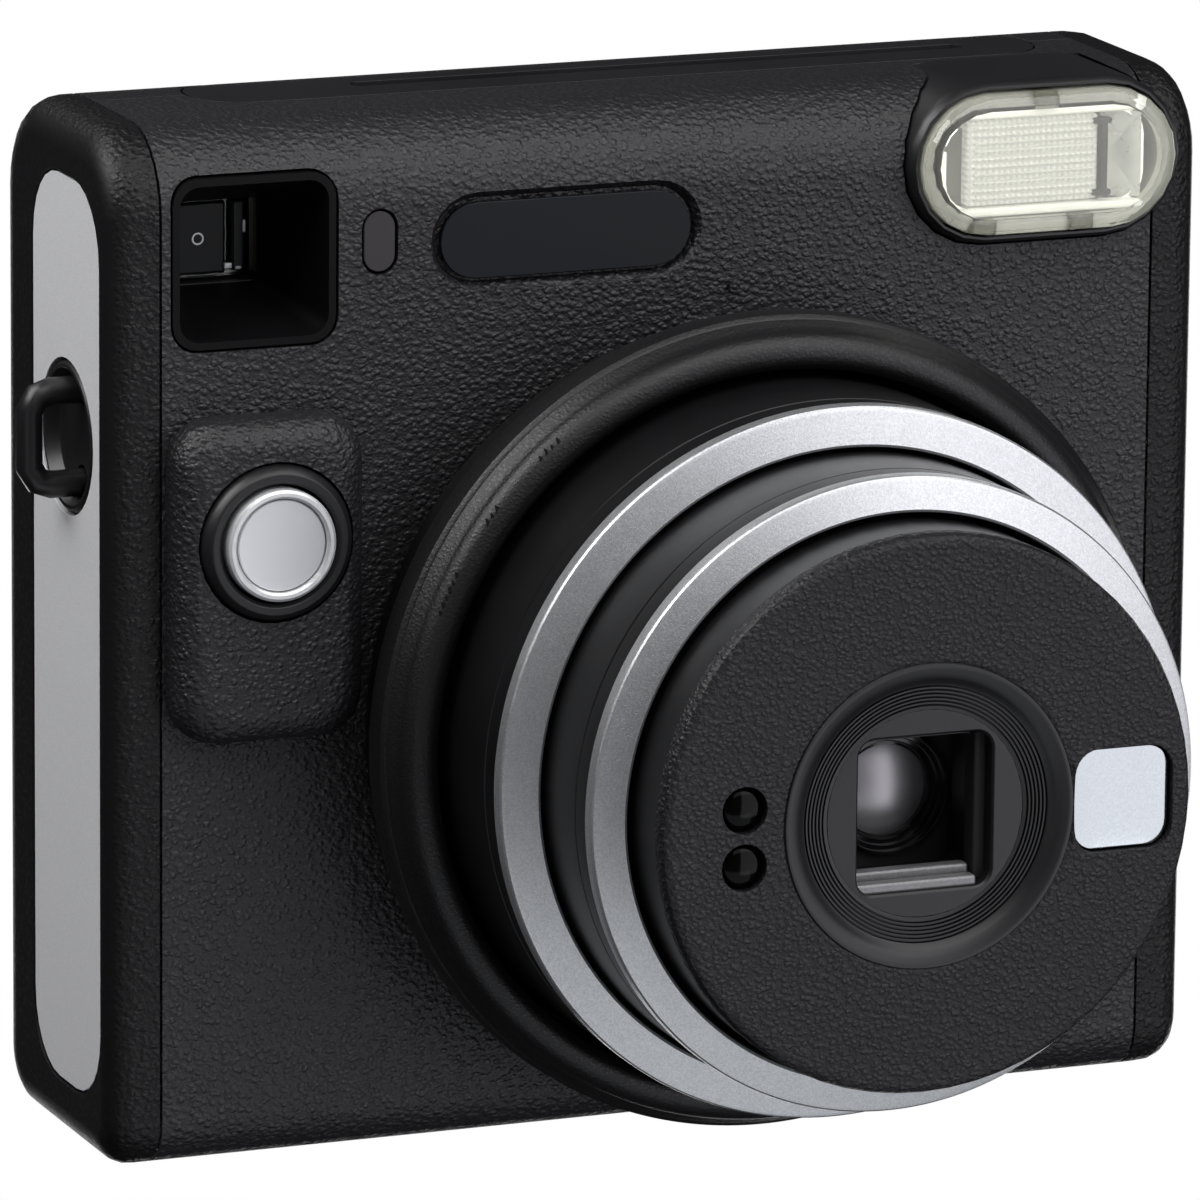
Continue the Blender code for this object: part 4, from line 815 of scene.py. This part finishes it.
def make_hood():
    """The dished ring with its fine grooves, the square baffle and its bright sill."""
    face = FACE_REACH / MM
    bore, outer, depth = 11.8, 15.4, 12.0
    profile = [(face - depth, bore), (face - depth, outer), (face - 3.4, outer), (face - 3.2, 17.0)]
    for drop, radius in (
        (0.52, 17.05),
        (0.26, 17.45),
        (0.06, 17.3),
        (0.02, 17.0),
        (0.09, 16.7),
        (0.22, 16.25),
        (0.38, 15.8),
        (0.66, 15.35),
        (1.07, 14.9),
    ):
        profile.append((face - drop, radius))
    radius, reach, grooves = 14.7, face - 1.15, 6
    for _ in range(grooves):
        profile += [(reach, radius), (reach - 0.38, radius - 0.08)]
        profile += [(reach - 0.40, radius - 0.18), (reach - 0.04, radius - 0.26)]
        radius -= 0.44
        reach -= 0.05
    profile += [(reach - 0.05, bore + 0.03), (reach - 0.1, bore)]
    revolve("hood_fine", in_mm(profile), "lens_hood", FINE, replaces=True)
    front = reach * MM - 0.05 * MM
    back = front - 9.0 * MM
    wide, tall, disc, lip = 16.1 * MM, 17.7 * MM, 23.6 * MM, 1.8 * MM
    lofted(
        "hood_baffle",
        LENS_X,
        LENS_Z,
        [
            (disc, disc, 11.7 * MM, back),
            (disc, disc, 11.7 * MM, front),
            (wide + 0.5 * MM, tall + 0.5 * MM, 2.2 * MM, front + 0.02 * MM),
            (wide, tall, 2.0 * MM, front - 0.25 * MM),
            (wide, tall, 2.0 * MM, front - 2.9 * MM),
            (wide - lip, tall - lip, 1.3 * MM, front - 3.1 * MM),
            (wide - lip, tall - lip, 1.3 * MM, back),
        ],
        "lens_hood",
        "satin_black",
        edge=0.06 * MM,
        frame_like=True,
    )
    left, right, low, high = LENS_X - wide / 2, LENS_X + wide / 2, LENS_Z - tall / 2, LENS_Z + tall / 2
    for i, (rise, near, far) in enumerate(((1.15, 0.5, 2.3), (2.0, 2.7, 4.6))):
        front_bar(
            "hood_sill_%d" % i,
            (left - 0.1 * MM, right - 1.5 * MM),
            (low - 0.1 * MM, low + rise * MM),
            (front - far * MM, front - near * MM),
            "lens_hood",
            "sill_grey",
            0.35 * MM,
        )
    front_bar(
        "hood_side_step",
        (right - 1.4 * MM, right + 0.1 * MM),
        (low + 0.3 * MM, high - 0.4 * MM),
        (front - 4.6 * MM, front - 1.8 * MM),
        "lens_hood",
        "matte_black",
        0.3 * MM,
    )


def make_optics():
    """The front lens behind a stack of stepped retaining rings."""
    base = FACE_REACH / MM - 12.4
    profile = [(base - 3.6, 5.3), (base - 3.6, 7.0), (base + 1.1, 7.0)]
    radius, height = 6.9, 1.1
    for _ in range(3):
        profile += [
            (base + height, radius),
            (base + height - 0.12, radius - 0.12),
            (base + height - 0.62, radius - 0.16),
        ]
        radius -= 0.56
        height -= 0.62
    profile += [(base + height + 0.1, radius), (base + height - 0.1, 5.25)]
    revolve("lens_rings", in_mm(profile), "shutter_housing", ROUND, "gloss_black")
    profile = [(base - 4.4, 0.0), (base - 4.2, 5.6), (base - 2.1, 5.6)]
    cap_radius, cap_angle, steps = 14.0, math.radians(23.6), 10
    for i in range(steps):
        angle = cap_angle * (1 - i / steps)
        profile.append((base - 14.5 + cap_radius * math.cos(angle), cap_radius * math.sin(angle)))
    profile.append((base - 14.5 + cap_radius, 0.0))
    revolve("front_lens_fine", in_mm(profile), "front_lens", 96, "coated_glass", True)


def make_flash():
    """Behind the clear cover: a white frame, a ribbed diffuser, and a faceted reflector with its clip."""
    left, right = FLASH_X - 9.9 * MM, FLASH_X + 6.6 * MM
    low, high = FLASH_Z - 5.0 * MM, FLASH_Z + 5.0 * MM
    front_bar(
        "flash_diffuser",
        (left, right),
        (low, high),
        (-1.2 * MM, 0.7 * MM),
        "flash_window",
        "ribbed_diffuser_painted_glow",
        0.4 * MM,
    )
    rib = front_bar(
        "flash_ribs",
        (left + 0.8 * MM, right - 0.6 * MM),
        (low + 0.75 * MM, low + 1.05 * MM),
        (0.5 * MM, 1.0 * MM),
        "flash_window",
        "ribbed_diffuser_painted_glow",
        0.1 * MM,
    )
    rows_of(rib, 10, 0.92 * MM)
    liner = ((30.4, 15.4, -4.6), (30.6, 15.4, 1.0), (29.8, 14.6, 1.35))
    liner += ((28.0, 12.8, 1.0), (27.6, 12.4, -4.6))
    back = ((30.4, 15.2, -5.0), (30.4, 15.2, -4.7))
    for name, steps in (("liner", liner), ("back", back)):
        lofted(
            "flash_" + name,
            FLASH_X,
            FLASH_Z,
            [(wide * MM, tall * MM, 20 * MM, reach * MM) for wide, tall, reach in steps],
            "flash_window",
            "milk_plastic",
            frame_like=name == "liner",
        )
    # The rails glow faintly: painted light from their emissive white material.
    for name, z in (("top", high + 0.2 * MM), ("bottom", low - 1.2 * MM)):
        front_bar(
            "flash_rail_" + name,
            (left - 0.6 * MM, right + 5.4 * MM),
            (z, z + 1.0 * MM),
            (-0.8 * MM, 1.3 * MM),
            "flash_window",
            "white_plastic_painted_glow",
            0.3 * MM,
        )
    clip = right + 0.55 * MM
    front_bar(
        "flash_clip",
        (clip - 0.45 * MM, clip + 0.45 * MM),
        (low + 0.4 * MM, high - 0.4 * MM),
        (0.1 * MM, 1.3 * MM),
        "flash_tube",
        "gloss_black",
    )
    for i, z in enumerate((low + 0.8 * MM, high - 0.8 * MM)):
        front_bar(
            "flash_clip_foot_%d" % i,
            (clip - 1.3 * MM, clip + 0.9 * MM),
            (z - 0.35 * MM, z + 0.35 * MM),
            (0.1 * MM, 1.35 * MM),
            "flash_tube",
            "gloss_black",
        )
    make_facets(right + 1.0 * MM, right + 5.2 * MM, low, high)
    for i, (x, z) in enumerate(((-0.5, 7.1), (-8.2, -7.1), (4.0, -7.1))):
        front_box(
            "flash_tab_%d" % i,
            (FLASH_X + x * MM, FLASH_Z + z * MM),
            (3.0 * MM, 1.5 * MM),
            (-3.0 * MM, 2.2 * MM),
            "flash_window",
            "tab_plastic",
            0.25 * MM,
        )


def make_facets(left, right, low, high):
    """A reflector of flat triangles round a sunk middle point."""
    bm = bmesh.new()
    count = 5
    heights = [low + (high - low) * i / (count - 1) for i in range(count)]
    edge = [bm.verts.new((right, ahead(1.0 * MM), z)) for z in heights]
    rise = [bm.verts.new((left, ahead((0.2 if i % 2 else -1.2) * MM), z)) for i, z in enumerate(heights)]
    core = bm.verts.new(((left * 2 + right) / 3, ahead(-1.8 * MM), (low + high) / 2))
    ring = edge + rise[::-1]
    for first, second in zip(ring, ring[1:] + ring[:1]):
        bm.faces.new((first, second, core))
    facets = add_piece("flash_facets", mesh_of("flash_facets", bm), "flash_reflector", "facet_silver")
    facets.modifiers.new("thickness", "SOLIDIFY").thickness = 0.3 * MM


def make_button():
    """A spun disc inside a bright rounded rim, with a dark line between."""
    low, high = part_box("shutter_button")
    centre, radius = middle_of("shutter_button"), (high.x - low.x) / 2 / MM
    rear, front = (FRONT_Y - high.y) / MM, (FRONT_Y - low.y) / MM
    rim = [
        (rear, radius - 1.2),
        (rear, radius),
        (front - 0.5, radius),
        (front - 0.2, radius - 0.1),
        (front, radius - 0.4),
        (front, radius - 0.8),
        (front - 0.2, radius - 1.05),
        (front - 0.7, radius - 1.2),
    ]
    revolve("button_rim", in_mm(rim), "shutter_button", ROUND, "rim_silver", True, centre)
    disc = [
        (front - 1.4, 0.0),
        (front - 1.4, radius - 1.25),
        (front - 0.55, radius - 1.25),
        (front - 0.42, radius - 1.4),
        (front - 0.5, radius - 2.4),
        (front - 0.55, 0.0),
    ]
    revolve("button_disc", in_mm(disc), "shutter_button", ROUND, centre=centre)


def make_ribs():
    """Thumb ribs on the battery door and by the film door's free edge."""
    for node, left, rise in (("battery_door", 0.5, 0.07), ("film_door", 0.11, 0.60)):
        low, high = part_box(node)
        x, z = low.x + (high.x - low.x) * left, low.z + (high.z - low.z) * rise
        rib = bar(
            node + "_ribs",
            (x - 4.5 * MM, high.y - 0.3 * MM, z),
            (x + 4.5 * MM, high.y + 0.35 * MM, z + 0.8 * MM),
            node,
            "satin_black",
            0.25 * MM,
        )
        rows_of(rib, 5, 1.9 * MM)


def make_finder():
    """What shows deep in the finder funnel: a dark glass block with a ring, a prism edge, and small bright
    bars that stand in for glints; the first glows white, a painted highlight.
    """
    glass = FRONT_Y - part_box("viewfinder_window")[0].y
    for name, x, z, near, material, edge in (
        ("back", (-5.6, 5.6), (-5.3, 5.3), (-5.0, -2.8), "matte_black", 0.15),
        ("prism", (-4.6, 1.8), (-4.2, 4.2), (-2.7, 0.6), "prism_glass", 0.35),
        ("edge", (2.2, 4.2), (-4.0, 4.4), (-2.6, 0.9), "prism_glass", 0.5),
    ):
        front_bar(
            "finder_" + name,
            (FINDER_X + x[0] * MM, FINDER_X + x[1] * MM),
            (FINDER_Z + z[0] * MM, FINDER_Z + z[1] * MM),
            (glass + near[0] * MM, glass + near[1] * MM),
            "viewfinder_bezel",
            material,
            edge * MM,
        )
    # Small bars where the glass catches light: the first glows white, a painted highlight; the others are
    # bright metal lit by the lamps.
    for i, (x, z, wide, tall) in enumerate(
        ((-4.45, 2.1, 0.5, 2.4), (1.95, -3.3, 1.0, 0.7), (3.9, 1.2, 0.4, 1.5), (3.2, -3.6, 0.8, 0.4))
    ):
        front_box(
            "finder_glint_%d" % i,
            (FINDER_X + x * MM, FINDER_Z + z * MM),
            (wide * MM, tall * MM),
            (glass + 0.2 * MM, glass + 1.0 * MM),
            "viewfinder_bezel",
            "rim_silver" if i else "white_plastic_painted_glow",
        )
    rear, front = glass + 0.5 * MM, glass + 0.7 * MM
    profile = [(rear, 0.50 * MM), (rear, 0.74 * MM), (front, 0.71 * MM), (front, 0.53 * MM)]
    centre = (FINDER_X - 1.6 * MM, FINDER_Z)
    revolve("finder_ring", profile, "viewfinder_bezel", SMALL, "steel", centre=centre)


make_camera()
make_world()
make_lights()
make_floor()
dress_cad()
smooth_shells()
make_dial()
make_stages()
make_face()
make_hood()
make_optics()
make_flash()
make_button()
make_finder()
make_ribs()
SCENE.view_settings.view_transform = "Standard"
